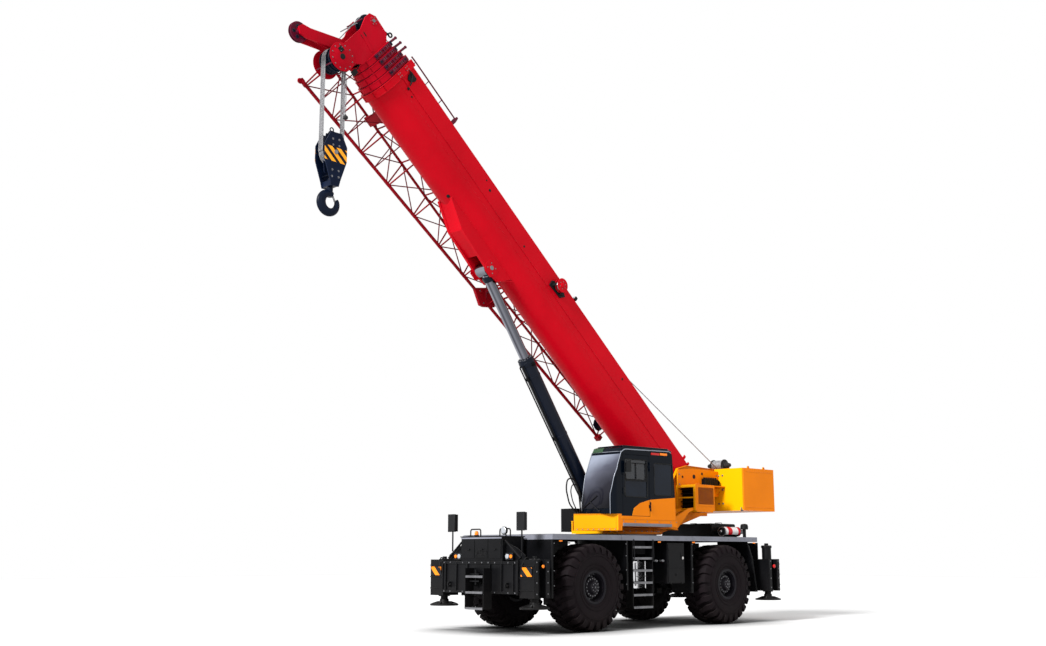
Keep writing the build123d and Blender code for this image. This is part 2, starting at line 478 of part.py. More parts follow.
sheaves = []
for lat in (-150, -60, 60, 150):
    sheaves.append(sheave(TIP_X, TIP_Z, lat, SHEAVE_R, 45))
tips = fuse([cyl("X", (0, -TIP_X, TIP_Z), 45, 600)] + sheaves)
tops = fuse([cyl("X", (0, -13060, 300), 40, 600), sheave(13060, 300, 60, 200, 40), sheave(13060, 300, -60, 200, 40)])
nose_s = fuse([cyl("X", (0, -13820, -1240), 30, 240), sheave(13820, -1240, 0, 190, 30)])
save("head_sheaves", BOOM * Compound(children=[tips, tops, nose_s]))

# stowed lattice jib on the right side: three chords that close towards its tip, and its cross frames
A0, A1 = (12900, -950, -1140), (1900, -950, -300)
B0, BM, B1 = (12900, -1150, -120), (8000, -1150, -120), (1800, -1100, 160)
C0, CM, C1 = (12900, -620, -120), (8000, -620, -120), (1900, -740, 140)


def at(p):
    return (p[1], -p[0], p[2])


def mix(p, q, t):
    return tuple(p[i] + (q[i] - p[i]) * t for i in range(3))


def chord_a(t):
    return mix(A0, A1, t)


def chord_at(c0, cm, c1, t):
    x = A0[0] + (A1[0] - A0[0]) * t
    if x >= cm[0]:
        return mix(c0, cm, (x - c0[0]) / (cm[0] - c0[0]))
    return mix(cm, c1, (x - cm[0]) / (c1[0] - cm[0]))


def strut(p, q, rp, rq, r):
    """Tube between two chords, ending just off the surface of each."""
    p, q = Vector(*at(p)), Vector(*at(q))
    u = (q - p).normalized()
    return rod(tuple(p + u * (rp + 0.5)), tuple(q - u * (rq + 0.5)), r)


jib = [rod(at(A0), at(A1), 36)]
for c0, cm, c1 in ((B0, BM, B1), (C0, CM, C1)):
    jib += [rod(at(c0), at(cm), 30), rod(at(mix(cm, c1, 1.6 / 6200)), at(c1), 30)]
for k in range(0, 13):
    # the three tubes of a frame stand side by side along the chords
    t0, t1, t2 = (0.007 + 0.986 * k / 12 + d for d in (-0.0038, 0.0, 0.0038))
    jib += [strut(chord_at(B0, BM, B1, t0), chord_at(C0, CM, C1, t0), 30, 30, 17),
            strut(chord_a(t1), chord_at(B0, BM, B1, t1), 36, 30, 17),
            strut(chord_a(t2), chord_at(C0, CM, C1, t2), 36, 30, 17)]
for xb in (6900, 11300):
    t = (A0[0] - xb) / (A0[0] - A1[0])
    c = chord_at(C0, CM, C1, t)
    jib.append(boom_box(xb - 50, xb + 50, c[1] + 31, -585, -150, -60))
save("jib_lattice", BOOM * Compound(children=jib))

# ================================================================ lift cylinder, in line from its eye on the boom to its foot
eye = (0.0, PIV_Y - EYE_X * math.cos(math.radians(ELEV)) + EYE_Z * math.sin(math.radians(ELEV)), PIV_Z + EYE_X * math.sin(math.radians(ELEV)) + EYE_Z * math.cos(math.radians(ELEV)))
foot = (0.0, CYL_Y, CYL_Z)
L0 = math.dist(eye, foot)
unit = tuple((foot[i] - eye[i]) / L0 for i in range(3))


def on_cyl(d):
    return tuple(eye[i] + unit[i] * d for i in range(3))


rod_s = rod(on_cyl(0), on_cyl(3900), 110) + cyl("X", eye, 150, 300)
rod_s += rod(on_cyl(3700), on_cyl(3880), 123)
rod_s += cyl("X", eye, 60, 470)
save("lift_rod", rod_s)
barrel = rod(on_cyl(2185), on_cyl(L0 - 60), 165) - rod(on_cyl(2100), on_cyl(L0 - 260), 124.5)
barrel += rod(on_cyl(2185), on_cyl(2330), 178) - rod(on_cyl(2100), on_cyl(2400), 111)
barrel -= rod(on_cyl(2100), on_cyl(2400), 111)
barrel += cyl("X", foot, 165, 380)
save("lift_barrel", barrel)
print("cylinder", L0, eye)

# ================================================================ hoist rope falls, hook block and hook, hanging plumb under the tip axle
tip_y = PIV_Y - TIP_X * math.cos(math.radians(ELEV)) + TIP_Z * math.sin(math.radians(ELEV))
tip_z = PIV_Z + TIP_X * math.sin(math.radians(ELEV)) + TIP_Z * math.cos(math.radians(ELEV))
ROPE_R, FALL = 11.0, SHEAVE_R - 6
BLOCK_TOP = 9729.0
falls = []
for lat in (-60, 60):
    for d in (-1, 1):
        falls.append(cyl("Z", (lat, tip_y + d * (FALL + 12), (tip_z + BLOCK_TOP - 420) / 2), ROPE_R, tip_z - BLOCK_TOP + 420))
save("hoist_falls", Compound(children=falls))
zs = BLOCK_TOP - 400
cheek_b = [(-130, BLOCK_TOP), (130, BLOCK_TOP), (262, BLOCK_TOP - 260), (262, BLOCK_TOP - 560), (120, 8760), (90, 8640), (-90, 8640), (-120, 8760), (-262, BLOCK_TOP - 560), (-262, BLOCK_TOP - 260)]
block = [side_plate([(tip_y + a, b) for a, b in cheek_b], x0, x1) for x0, x1 in ((-170, -145), (145, 170))]
block.append(side_plate([(tip_y + a, max(b, 8920)) for a, b in ((-130, BLOCK_TOP), (130, BLOCK_TOP), (200, 9400), (150, 8920), (-150, 8920), (-200, 9400))], -8, 8))
block += [cyl("X", (0, tip_y, zs), 45, 360)]
for lat in (-60, 60):
    w = cyl("X", (lat, tip_y, zs), 225, 34) - Pos(lat, tip_y, zs) * Rot(0, 90, 0) * Torus(225 + 10, 16)
    block.append(w)
block.append(box(-146, 146, tip_y - 85, tip_y + 85, 8650, 8760))
blk = fuse(block) - cyl("Z", (0, tip_y, 8700), 40.06, 200)
save("hook_block", blk)
shank = cyl("Z", (0, tip_y, 8700), 40, 250) + cyl("Z", (0, tip_y, 8800), 62, 60) + cyl("Z", (0, tip_y, 8600), 58, 70)
HOOK_R, HOOK_Z = 185.0, 8330.0
with BuildPart() as hk:
    with BuildLine(Plane.YZ) as ln:
        path = CenterArc((tip_y, HOOK_Z), HOOK_R, 85, 300)
    with BuildSketch(Plane(origin=path @ 0, z_dir=path % 0)):
        Circle(75)
    sweep(path=path)
hook = hk.part.moved(Location((0, 0, 0)))
neck = rod((0, tip_y, 8600), (0, tip_y + 10, 8480), 55)
save("crane_hook", fuse([shank, neck, hook]))
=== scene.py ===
import json
import math

import bpy
import numpy as np
from mathutils import Matrix, Vector

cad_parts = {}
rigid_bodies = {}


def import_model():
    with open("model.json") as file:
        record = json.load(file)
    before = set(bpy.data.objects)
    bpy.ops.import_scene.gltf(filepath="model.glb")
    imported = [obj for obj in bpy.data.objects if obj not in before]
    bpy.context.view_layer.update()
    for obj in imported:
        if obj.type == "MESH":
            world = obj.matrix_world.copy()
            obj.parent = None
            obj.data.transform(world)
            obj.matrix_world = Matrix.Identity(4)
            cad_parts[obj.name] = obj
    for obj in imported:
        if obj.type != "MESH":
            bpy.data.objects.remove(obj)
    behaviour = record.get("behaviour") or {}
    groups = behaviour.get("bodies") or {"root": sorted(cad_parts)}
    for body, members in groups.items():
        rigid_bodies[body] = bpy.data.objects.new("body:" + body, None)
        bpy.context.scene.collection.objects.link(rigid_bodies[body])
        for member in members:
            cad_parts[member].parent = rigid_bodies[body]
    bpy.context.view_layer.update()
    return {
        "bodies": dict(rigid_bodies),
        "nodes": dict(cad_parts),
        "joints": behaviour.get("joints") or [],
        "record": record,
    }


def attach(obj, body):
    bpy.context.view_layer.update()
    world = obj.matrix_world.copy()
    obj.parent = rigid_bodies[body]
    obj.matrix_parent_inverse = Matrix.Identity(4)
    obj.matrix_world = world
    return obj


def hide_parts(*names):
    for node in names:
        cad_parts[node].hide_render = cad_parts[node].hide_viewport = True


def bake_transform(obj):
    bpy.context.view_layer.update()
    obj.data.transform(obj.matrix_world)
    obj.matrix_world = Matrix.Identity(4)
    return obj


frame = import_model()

rng = np.random.default_rng(11)
NODES = frame["nodes"]

# ------------------------------------------------------------------ camera, light, floor
scene = bpy.context.scene
cam_data = bpy.data.cameras.new("camera")
cam_data.lens, cam_data.sensor_width = 42.58, 36.0
cam_data.clip_end = 400
cam = bpy.data.objects.new("camera", cam_data)
cam.location = (19.543, -21.559, 1.554)
cam.rotation_euler = (math.radians(90 + 10.644), 0, math.radians(46.533))
scene.collection.objects.link(cam)
scene.camera = cam

world = bpy.data.worlds.new("studio")
scene.world = world
world.use_nodes = True
bg = world.node_tree.nodes["Background"]
bg.inputs["Color"].default_value = (1.0, 1.0, 1.0, 1)
bg.inputs["Strength"].default_value = 1.0
scene.view_settings.view_transform = "Standard"


def area(name, loc, target, size, power, color=(1, 1, 1)):
    d = bpy.data.lights.new(name, "AREA")
    d.shape, d.size, d.energy, d.color = "DISK", size, power, color
    o = bpy.data.objects.new(name, d)
    o.location = loc
    o.rotation_euler = (Vector(target) - Vector(loc)).to_track_quat("-Z", "Y").to_euler()
    scene.collection.objects.link(o)


def sun(name, direction, strength, angle, color=(1, 1, 1)):
    d = bpy.data.lights.new(name, "SUN")
    d.energy, d.angle, d.color = strength, math.radians(angle), color
    o = bpy.data.objects.new(name, d)
    o.rotation_euler = Vector(direction).to_track_quat("-Z", "Y").to_euler()
    scene.collection.objects.link(o)


sun("key", (-0.10, 0.90, -0.55), 5.6, 14)
sun("side", (-0.95, 0.25, -0.35), 0.30, 25)

# ------------------------------------------------------------------ materials
MATS = {}


def node(tree, kind, **values):
    n = tree.nodes.new(kind)
    for k, v in values.items():
        setattr(n, k, v)
    return n


def ramp(tree, fac, stops):
    r = node(tree, "ShaderNodeValToRGB")
    tree.links.new(fac, r.inputs["Fac"])
    el = r.color_ramp.elements
    while len(el) < len(stops):
        el.new(0.5)
    for e, (p, c) in zip(el, stops):
        e.position, e.color = p, (*c, 1) if len(c) == 3 else (c[0], c[0], c[0], 1)
    return r.outputs["Color"]


def noise(tree, coord, scale, detail=4, rough=0.55, stretch=None):
    n = node(tree, "ShaderNodeTexNoise")
    n.inputs["Scale"].default_value = scale
    n.inputs["Detail"].default_value = detail
    n.inputs["Roughness"].default_value = rough
    if stretch:
        m = node(tree, "ShaderNodeMapping")
        m.inputs["Scale"].default_value = stretch
        tree.links.new(coord, m.inputs["Vector"])
        coord = m.outputs["Vector"]
    tree.links.new(coord, n.inputs["Vector"])
    return n.outputs["Fac"]


def mix(tree, fac, a, b, mode="MIX"):
    m = node(tree, "ShaderNodeMix", data_type="RGBA", blend_type=mode)
    for sock, val in ((m.inputs["Factor"], fac), (m.inputs[6], a), (m.inputs[7], b)):
        if isinstance(val, (int, float)):
            sock.default_value = val
        elif isinstance(val, tuple):
            sock.default_value = (*val, 1)
        else:
            tree.links.new(val, sock)
    return m.outputs[2]


def maprange(tree, val, a, b, c, d):
    m = node(tree, "ShaderNodeMapRange")
    tree.links.new(val, m.inputs["Value"])
    for k, v in zip(("From Min", "From Max", "To Min", "To Max"), (a, b, c, d)):
        m.inputs[k].default_value = v
    return m.outputs["Result"]


def math_node(tree, op, a, b=0.5):
    m = node(tree, "ShaderNodeMath", operation=op)
    for s, v in zip(m.inputs, (a, b)):
        if isinstance(v, (int, float)):
            s.default_value = v
        else:
            tree.links.new(v, s)
    return m.outputs[0]


def shader(name, base, rough=(0.35, 0.5), metallic=0.0, dark=0.8, patch=1.5, grain=220.0, bump=0.04, coat=0.0,
           dust=0.0, low=None, edge=None, painted_front_light=None, spec=0.14, streak=0.0, ior=None, bump_scale=0.002):
    """A finish with broad tone patches, fine grain in roughness and bump, dust on what faces up, grime low down, and
    optionally a painted light tint on the faces turned to the front.
    """
    m = bpy.data.materials.new(name)
    m.use_nodes = True
    t = m.node_tree
    b = t.nodes["Principled BSDF"]
    tc = node(t, "ShaderNodeTexCoord").outputs["Object"]
    big = noise(t, tc, patch, 5, 0.6)
    fine = noise(t, tc, grain, 3, 0.6)
    dk = tuple(c * dark for c in base)
    lt = tuple(min(1.0, c * (2 - dark) * 0.98) for c in base)
    col = ramp(t, big, [(0.32, dk), (0.5, base), (0.72, lt)])
    col = mix(t, maprange(t, fine, 0.35, 0.65, 0.0, 0.18), col, dk)
    if streak:
        st = noise(t, tc, 6.0, 4, 0.6, (5.0, 5.0, 0.35))
        col = mix(t, maprange(t, st, 0.52, 0.72, 0.0, streak), col, tuple(c * 0.55 + 0.02 for c in base))
    if painted_front_light:
        # painted light: a lighter, yellower colour on the faces that look to the machine's front, where the key light
        # falls
        g = node(t, "ShaderNodeTexCoord")
        s = node(t, "ShaderNodeSeparateXYZ")
        t.links.new(g.outputs["Normal"], s.inputs[0])
        col = mix(t, maprange(t, s.outputs["Y"], -0.70, -0.98, 0.0, 1.0), col, painted_front_light)
    if dust:
        g = node(t, "ShaderNodeNewGeometry")
        s = node(t, "ShaderNodeSeparateXYZ")
        t.links.new(g.outputs["Normal"], s.inputs[0])
        up = maprange(t, s.outputs["Z"], 0.55, 1.0, 0.0, dust)
        up = math_node(t, "MULTIPLY", up, maprange(t, big, 0.3, 0.7, 0.45, 1.0))
        col = mix(t, up, col, (0.42, 0.38, 0.33))
    if low:
        s = node(t, "ShaderNodeSeparateXYZ")
        t.links.new(tc, s.inputs[0])
        grime = math_node(t, "MULTIPLY", maprange(t, s.outputs["Z"], low[1], low[0], 0.0, low[2]), maprange(t, noise(t, tc, 9.0, 6, 0.7), 0.35, 0.65, 0.25, 1.0))
        col = mix(t, grime, col, (0.16, 0.13, 0.10))
    if edge:
        g = node(t, "ShaderNodeNewGeometry")
        bev = node(t, "ShaderNodeBevel")
        bev.samples = 4
        bev.inputs["Radius"].default_value = edge[0]
        dot = node(t, "ShaderNodeVectorMath", operation="DOT_PRODUCT")
        t.links.new(bev.outputs["Normal"], dot.inputs[0])
        t.links.new(g.outputs["Normal"], dot.inputs[1])
        worn = math_node(t, "MULTIPLY", maprange(t, dot.outputs["Value"], 0.985, 0.90, 0.0, 1.0), maprange(t, noise(t, tc, 26.0, 5, 0.7), 0.45, 0.6, 0.0, edge[1]))
        col = mix(t, worn, col, edge[2])
    t.links.new(col, b.inputs["Base Color"])
    t.links.new(maprange(t, mix(t, 0.5, fine, big), 0.3, 0.7, rough[0], rough[1]), b.inputs["Roughness"])
    b.inputs["Metallic"].default_value = metallic
    b.inputs["Specular IOR Level"].default_value = spec
    if coat:
        b.inputs["Coat Weight"].default_value = coat
        b.inputs["Coat Roughness"].default_value = 0.12
    if ior:
        b.inputs["IOR"].default_value = ior
    bp = node(t, "ShaderNodeBump")
    bp.inputs["Strength"].default_value = bump
    bp.inputs["Distance"].default_value = bump_scale
    t.links.new(fine, bp.inputs["Height"])
    t.links.new(bp.outputs["Normal"], b.inputs["Normal"])
    MATS[name] = m
    return m


RED = shader("boom_red", (0.43, 0.0010, 0.0075), (0.30, 0.42), coat=0.02, dark=0.88, patch=0.8, dust=0.01, spec=0.04, edge=(0.006, 0.25, (0.55, 0.12, 0.13)))
RED2 = shader("section_red", (0.36, 0.0010, 0.0095), (0.34, 0.46), dark=0.84, patch=1.1, dust=0.01, streak=0.12, spec=0.04)
# jib red: darker than the boom's red, with the shade of the jib's shadowed side painted in
JIBRED = shader("jib_red_with_painted_shade", (0.20, 0.0016, 0.0065), (0.36, 0.5), dark=0.78, patch=3.0, streak=0.1, spec=0.05)
# amber carries painted front light: faces turned to the front are tinted lighter and yellower
AMBER = shader("amber_paint", (0.64, 0.165, 0.0010), (0.30, 0.42), coat=0.02, dark=0.92, patch=0.9, dust=0.01, spec=0.05, edge=(0.006, 0.3, (0.80, 0.46, 0.20)), painted_front_light=(0.72, 0.330, 0.0010))
BLACK = shader("carrier_black", (0.0030, 0.0031, 0.0038), (0.34, 0.50), dark=0.7, patch=2.0, dust=0.012, low=(0.4, 1.3, 0.03), edge=(0.008, 0.45, (0.050, 0.050, 0.052)), spec=0.10)
CHASSIS = shader("chassis_black", (0.0026, 0.0026, 0.0032), (0.45, 0.62), dark=0.7, patch=2.5, dust=0.015, low=(0.3, 1.4, 0.035), streak=0.05, spec=0.08)
GREY = shader("deck_edge_grey", (0.16, 0.165, 0.195), (0.36, 0.5), dark=0.84, patch=2.0, streak=0.2)
DECK = shader("deck_plate", (0.016, 0.016, 0.018), (0.45, 0.65), dark=0.75, patch=2.0, dust=0.10, bump=0.25, grain=60.0, bump_scale=0.004)
CABBLACK = shader("cab_charcoal", (0.0010, 0.0026, 0.0058), (0.16, 0.26), coat=0.02, dark=0.85, patch=2.0, dust=0.005, spec=0.08)
SILVER = shader("silver_trim", (0.20, 0.215, 0.25), (0.28, 0.4), metallic=0.3, dark=0.85, patch=4.0)
NAVY = shader("cylinder_navy", (0.0028, 0.0048, 0.0110), (0.26, 0.38), coat=0.02, dark=0.8, patch=2.0, dust=0.005, spec=0.12)
NAVY2 = shader("block_navy", (0.0022, 0.0052, 0.0150), (0.34, 0.5), dark=0.75, patch=5.0, edge=(0.006, 0.5, (0.07, 0.07, 0.09)), spec=0.09)
CHROME = shader("chromed_rod", (0.34, 0.35, 0.38), (0.12, 0.20), metallic=1.0, dark=0.88, patch=1.2, bump=0.01, streak=0.08, spec=0.5)
STEEL = shader("bare_steel", (0.20, 0.20, 0.21), (0.30, 0.45), metallic=0.85, dark=0.75, patch=6.0)
ROPE = shader("rope_steel", (0.30, 0.30, 0.31), (0.45, 0.6), metallic=0.5, dark=0.6, patch=20.0, bump=0.3)
# lacing: dark red with the shade of the jib's shadowed side painted in
LACERED = shader("lacing_maroon_with_painted_shade", (0.115, 0.0035, 0.0090), (0.36, 0.5), dark=0.72, patch=4.0, streak=0.1, spec=0.08)
FALLROPE = shader("falls_steel", (0.245, 0.245, 0.255), (0.45, 0.6), metallic=0.3, dark=0.7, patch=20.0, bump=0.3)
RUBBER = shader("rubber_hose", (0.0055, 0.0055, 0.0060), (0.5, 0.7), dark=0.8, patch=6.0)
TYRE = shader("tyre_rubber", (0.0058, 0.0036, 0.0046), (0.62, 0.82), dark=0.7, patch=6.0, dust=0.02, bump=0.12, grain=160.0, low=(0.0, 0.5, 0.04), spec=0.08)
RIM = shader("rim_black", (0.0060, 0.0052, 0.0075), (0.34, 0.5), dark=0.8, patch=5.0, dust=0.01, edge=(0.006, 0.4, (0.06, 0.06, 0.065)), spec=0.12)
POLISH = shader("polished_tank", (0.78, 0.78, 0.80), (0.10, 0.24), metallic=1.0, dark=0.75, patch=5.0, streak=0.25, spec=0.5)
GRATE = shader("step_grey", (0.16, 0.16, 0.17), (0.35, 0.5), metallic=0.6, dark=0.7, patch=5.0, edge=(0.004, 0.6, (0.4, 0.4, 0.4)))
WHITE = shader("white_paint", (0.62, 0.61, 0.60), (0.35, 0.5), dark=0.9, patch=5.0)
REDLAMP = shader("lamp_red", (0.42, 0.008, 0.008), (0.12, 0.2), dark=0.85, patch=30.0, coat=0.3)
AMBERLAMP = shader("lamp_amber", (0.80, 0.19, 0.006), (0.12, 0.2), dark=0.85, patch=30.0, coat=0.3)
CLEARLAMP = shader("lamp_clear", (0.42, 0.44, 0.47), (0.08, 0.15), metallic=0.5, dark=0.8, patch=30.0, coat=0.5)
SIDEFILM = shader("side_window_tint", (0.0036, 0.0066, 0.0130), (0.05, 0.09), dark=0.75, patch=2.5, spec=0.16, bump=0.0)
BROWN = shader("grille_brown", (0.10, 0.016, 0.005), (0.5, 0.7), dark=0.7, patch=6.0)
PLASTIC = shader("black_plastic", (0.0065, 0.0068, 0.0075), (0.4, 0.6), dark=0.85, patch=12.0, bump=0.2, grain=400.0)
CLOTH = shader("seat_fabric", (0.012, 0.013, 0.015), (0.8, 0.95), dark=0.8, patch=10.0, bump=0.5, grain=600.0)
CAST = shader("cast_iron", (0.022, 0.022, 0.023), (0.55, 0.75), metallic=0.2, dark=0.75, patch=8.0, bump=0.3, grain=120.0)
# painted reflection: light and dark bands, set by the surface normal, multiplied into the chromed rod's base colour
# along its length
t = CHROME.node_tree
b_ = t.nodes["Principled BSDF"]
gn = node(t, "ShaderNodeTexCoord")
sn = node(t, "ShaderNodeSeparateXYZ")
t.links.new(gn.outputs["Normal"], sn.inputs[0])
painted_reflection_coord = math_node(t, "ADD", sn.outputs["X"], math_node(t, "MULTIPLY", sn.outputs["Z"], -0.45))
old = b_.inputs["Base Color"].links[0].from_socket
t.links.new(mix(t, 1.0, old, ramp(t, maprange(t, painted_reflection_coord, -1.1, 1.1, 0.0, 1.0), [(0.05, (0.10, 0.10, 0.12)), (0.36, (0.22, 0.22, 0.25)), (0.50, (0.95, 0.95, 1.0)), (0.62, (0.62, 0.62, 0.66)), (0.74, (0.16, 0.16, 0.18)), (0.88, (0.60, 0.60, 0.64)), (0.98, (0.28, 0.28, 0.30))]), "MULTIPLY"), b_.inputs["Base Color"])


def glass(name, tint, rough=0.03):
    m = bpy.data.materials.new(name)
    m.use_nodes = True
    t = m.node_tree
    b = t.nodes["Principled BSDF"]
    tc = node(t, "ShaderNodeTexCoord").outputs["Object"]
    n = noise(t, tc, 2.2, 3, 0.5)
    col = ramp(t, n, [(0.3, tuple(c * 0.85 for c in tint)), (0.7, tint)])
    t.links.new(col, b.inputs["Base Color"])
    t.links.new(maprange(t, noise(t, tc, 8.0, 4, 0.6), 0.3, 0.7, rough, rough + 0.04), b.inputs["Roughness"])
    b.inputs["Transmission Weight"].default_value = 0.75
    b.inputs["IOR"].default_value = 1.45
    b.inputs["Coat Weight"].default_value = 0.2
    b.inputs["Coat Roughness"].default_value = 0.03
    b.inputs["Specular IOR Level"].default_value = 0.3
    MATS[name] = m
    return m


GLASS = glass("cab_glass_tint", (0.035, 0.042, 0.055))
WINDSCREEN = glass("windscreen_tint", (0.08, 0.09, 0.11))


def stripes(name, a, b, scale, vec, width=0.5):
    """Two paints in slanted bands across vec, in metres of the row frame."""
    m = shader(name, a, (0.3, 0.45), dark=0.9, patch=5.0)
    t = m.node_tree
    bs = t.nodes["Principled BSDF"]
    tc = node(t, "ShaderNodeTexCoord").outputs["Object"]
    dot = node(t, "ShaderNodeVectorMath", operation="DOT_PRODUCT")
    dot.inputs[1].default_value = tuple(c * scale for c in vec)
    t.links.new(tc, dot.inputs[0])
    fr = math_node(t, "FRACT", dot.outputs["Value"])
    band = math_node(t, "GREATER_THAN", fr, width)
    old = bs.inputs["Base Color"].links[0].from_socket
    t.links.new(mix(t, band, old, b), bs.inputs["Base Color"])
    return m


HAZARD = stripes("hazard_stripes", (0.72, 0.28, 0.008), (0.006, 0.006, 0.010), 6.0, (0.0, 0.75, 0.66))
HAZARDX = stripes("hazard_stripes_end", (0.70, 0.20, 0.008), (0.007, 0.007, 0.010), 5.0, (0.7, 0.0, 0.7))
REDWHITE = stripes("red_white_end", (0.50, 0.010, 0.016), (0.62, 0.62, 0.62), 2.6, (0.0, 1.0, 0.0), 0.42)

# ------------------------------------------------------------------ mesh builder
P0 = Vector((0.0, 2.0, 3.3))
BOOM = Matrix.Translation(P0) @ Matrix.Rotation(math.radians(-42.0), 4, "X")


def bl(xb, lat, zb):
    """Row-frame point of a place on the boom: distance from the pivot, sideways, height."""
    return BOOM @ Vector((lat, -xb, zb))


def axis_frame(at, axis):
    """Matrix that takes local +Z to axis, with its origin at at."""
    z = {"X": Vector((1, 0, 0)), "Y": Vector((0, 1, 0)), "Z": Vector((0, 0, 1))}.get(axis) if isinstance(axis, str) else Vector(axis).normalized()
    ref = Vector((0, 0, 1)) if abs(z.z) < 0.9 else Vector((0, 1, 0))
    x = ref.cross(z).normalized()
    y = z.cross(x)
    m = Matrix((x, y, z)).transposed().to_4x4()
    m.translation = Vector(at)
    return m


class Part:
    """Collects geometry of one finish on one body and writes it as one mesh."""

    def __init__(self, name, body, mat, frame=None, bevel=0.0, smooth=38, slot=None):
        self.name, self.body, self.mat, self.M = name, body, mat, frame or Matrix.Identity(4)
        self.v, self.f, self.bevel, self.smooth, self.slot = [], [], bevel, smooth, slot

    def add(self, verts, faces, m=None):
        n = len(self.v)
        t = self.M @ m if m is not None else self.M
        self.v += [t @ Vector(p) for p in verts]
        flip = t.determinant() < 0
        for f in faces:
            g = tuple(i + n for i in f)
            self.f.append(g[::-1] if flip else g)
        return self

    def box(self, x0, x1, y0, y1, z0, z1, m=None):
        x0, x1 = min(x0, x1), max(x0, x1)
        y0, y1 = min(y0, y1), max(y0, y1)
        z0, z1 = min(z0, z1), max(z0, z1)
        v = [(x, y, z) for z in (z0, z1) for y in (y0, y1) for x in (x0, x1)]
        return self.add(v, [(0, 2, 3, 1), (4, 5, 7, 6), (0, 1, 5, 4), (2, 6, 7, 3), (0, 4, 6, 2), (1, 3, 7, 5)], m)

    def lathe(self, at, axis, profile, n=32, m=None, arc=None):
        """profile: (distance along axis, radius); radius 0 closes an end, otherwise the end is capped."""
        fr = axis_frame(at, axis)
        if m is not None:
            fr = m @ fr
        v, f, rings = [], [], []
        for s, r in profile:
            if r <= 1e-9:
                rings.append([len(v)])
                v.append((0, 0, s))
            else:
                rings.append(list(range(len(v), len(v) + n)))
                v += [(r * math.cos(2 * math.pi * k / n), r * math.sin(2 * math.pi * k / n), s) for k in range(n)]
        for a, b in zip(rings, rings[1:]):
            for k in range(n):
                j = (k + 1) % n
                if len(a) == 1 and len(b) == 1:
                    continue
                if len(a) == 1:
                    f.append((a[0], b[j], b[k]))
                elif len(b) == 1:
                    f.append((a[k], a[j], b[0]))
                else:
                    f.append((a[k], a[j], b[j], b[k]))
        closed = abs(profile[0][0] - profile[-1][0]) < 1e-9 and abs(profile[0][1] - profile[-1][1]) < 1e-9
        if closed:
            pass
        else:
            if len(rings[0]) > 1:
                f.append(tuple(reversed(rings[0])))
            if len(rings[-1]) > 1:
                f.append(tuple(rings[-1]))
        if sum((b[0] - a[0]) * (a[1] + b[1]) for a, b in zip(profile, profile[1:])) < 0:
            f = [g[::-1] for g in f]
        return self.add(v, f, fr)

    def cyl(self, at, axis, r, length, n=20, m=None, chamfer=None):
        c = min(r, length) * 0.08 if chamfer is None else chamfer
        h = length / 2
        return self.lathe(at, axis, [(-h, r - c), (-h + c, r), (h - c, r), (h, r - c)], n, m)

    def tube(self, at, axis, ro, ri, length, n=32, m=None):
        h = length / 2
        return self.lathe(at, axis, [(-h, ri), (-h, ro), (h, ro), (h, ri), (-h, ri)], n, m)

    def rod(self, a, b, r, n=10, r2=None):
        a, b = Vector(a), Vector(b)
        d = b - a
        return self.lathe(a, d, [(0, r), (d.length, r if r2 is None else r2)], n)

    def torus(self, at, axis, big, small, n=32, k=8):
        prof = [(small * math.sin(2 * math.pi * i / k), big - small * math.cos(2 * math.pi * i / k)) for i in range(k)]
        prof.append(prof[0])
        return self.lathe(at, axis, prof, n)

    def bolt(self, at, axis, r=0.014, h=0.014, washer=True):
        fr = axis_frame(at, axis)
        if washer:
            self.lathe(at, axis, [(0, r * 1.45), (0.003, r * 1.45)], 12)
        v = [(r * math.cos(math.pi * k / 3), r * math.sin(math.pi * k / 3), s) for s in (0.002, h) for k in range(6)]
        f = [tuple(range(5, -1, -1)), tuple(range(6, 12))] + [(k, (k + 1) % 6, 6 + (k + 1) % 6, 6 + k) for k in range(6)]
        return self.add(v, f, fr)

    def bolts(self, at, axis, pitch, count, r=0.014, h=0.014, phase=0.0):
        fr = axis_frame(at, axis)
        for k in range(count):
            a = 2 * math.pi * k / count + phase
            p = fr @ Vector((pitch * math.cos(a), pitch * math.sin(a), 0))
            self.bolt(p, axis, r, h)
        return self

    def prism(self, pts, plane, a0, a1, m=None):
        """Outline in plane "yz", "xz" or "xy", pulled from a0 to a1 along the third axis."""
        area = sum(p[0] * q[1] - q[0] * p[1] for p, q in zip(pts, pts[1:] + pts[:1]))
        if area < 0:
            pts = pts[::-1]
        put = {"yz": lambda p, a: (a, p[0], p[1]), "xz": lambda p, a: (p[0], a, p[1]), "xy": lambda p, a: (p[0], p[1], a)}[plane]
        a0, a1 = min(a0, a1), max(a0, a1)
        n = len(pts)
        v = [put(p, a0) for p in pts] + [put(p, a1) for p in pts]
        f = [tuple(range(n))[::-1], tuple(range(n, 2 * n))] + [(k, (k + 1) % n, n + (k + 1) % n, n + k) for k in range(n)]
        if plane == "xz":
            f = [g[::-1] for g in f]
        return self.add(v, f, m)

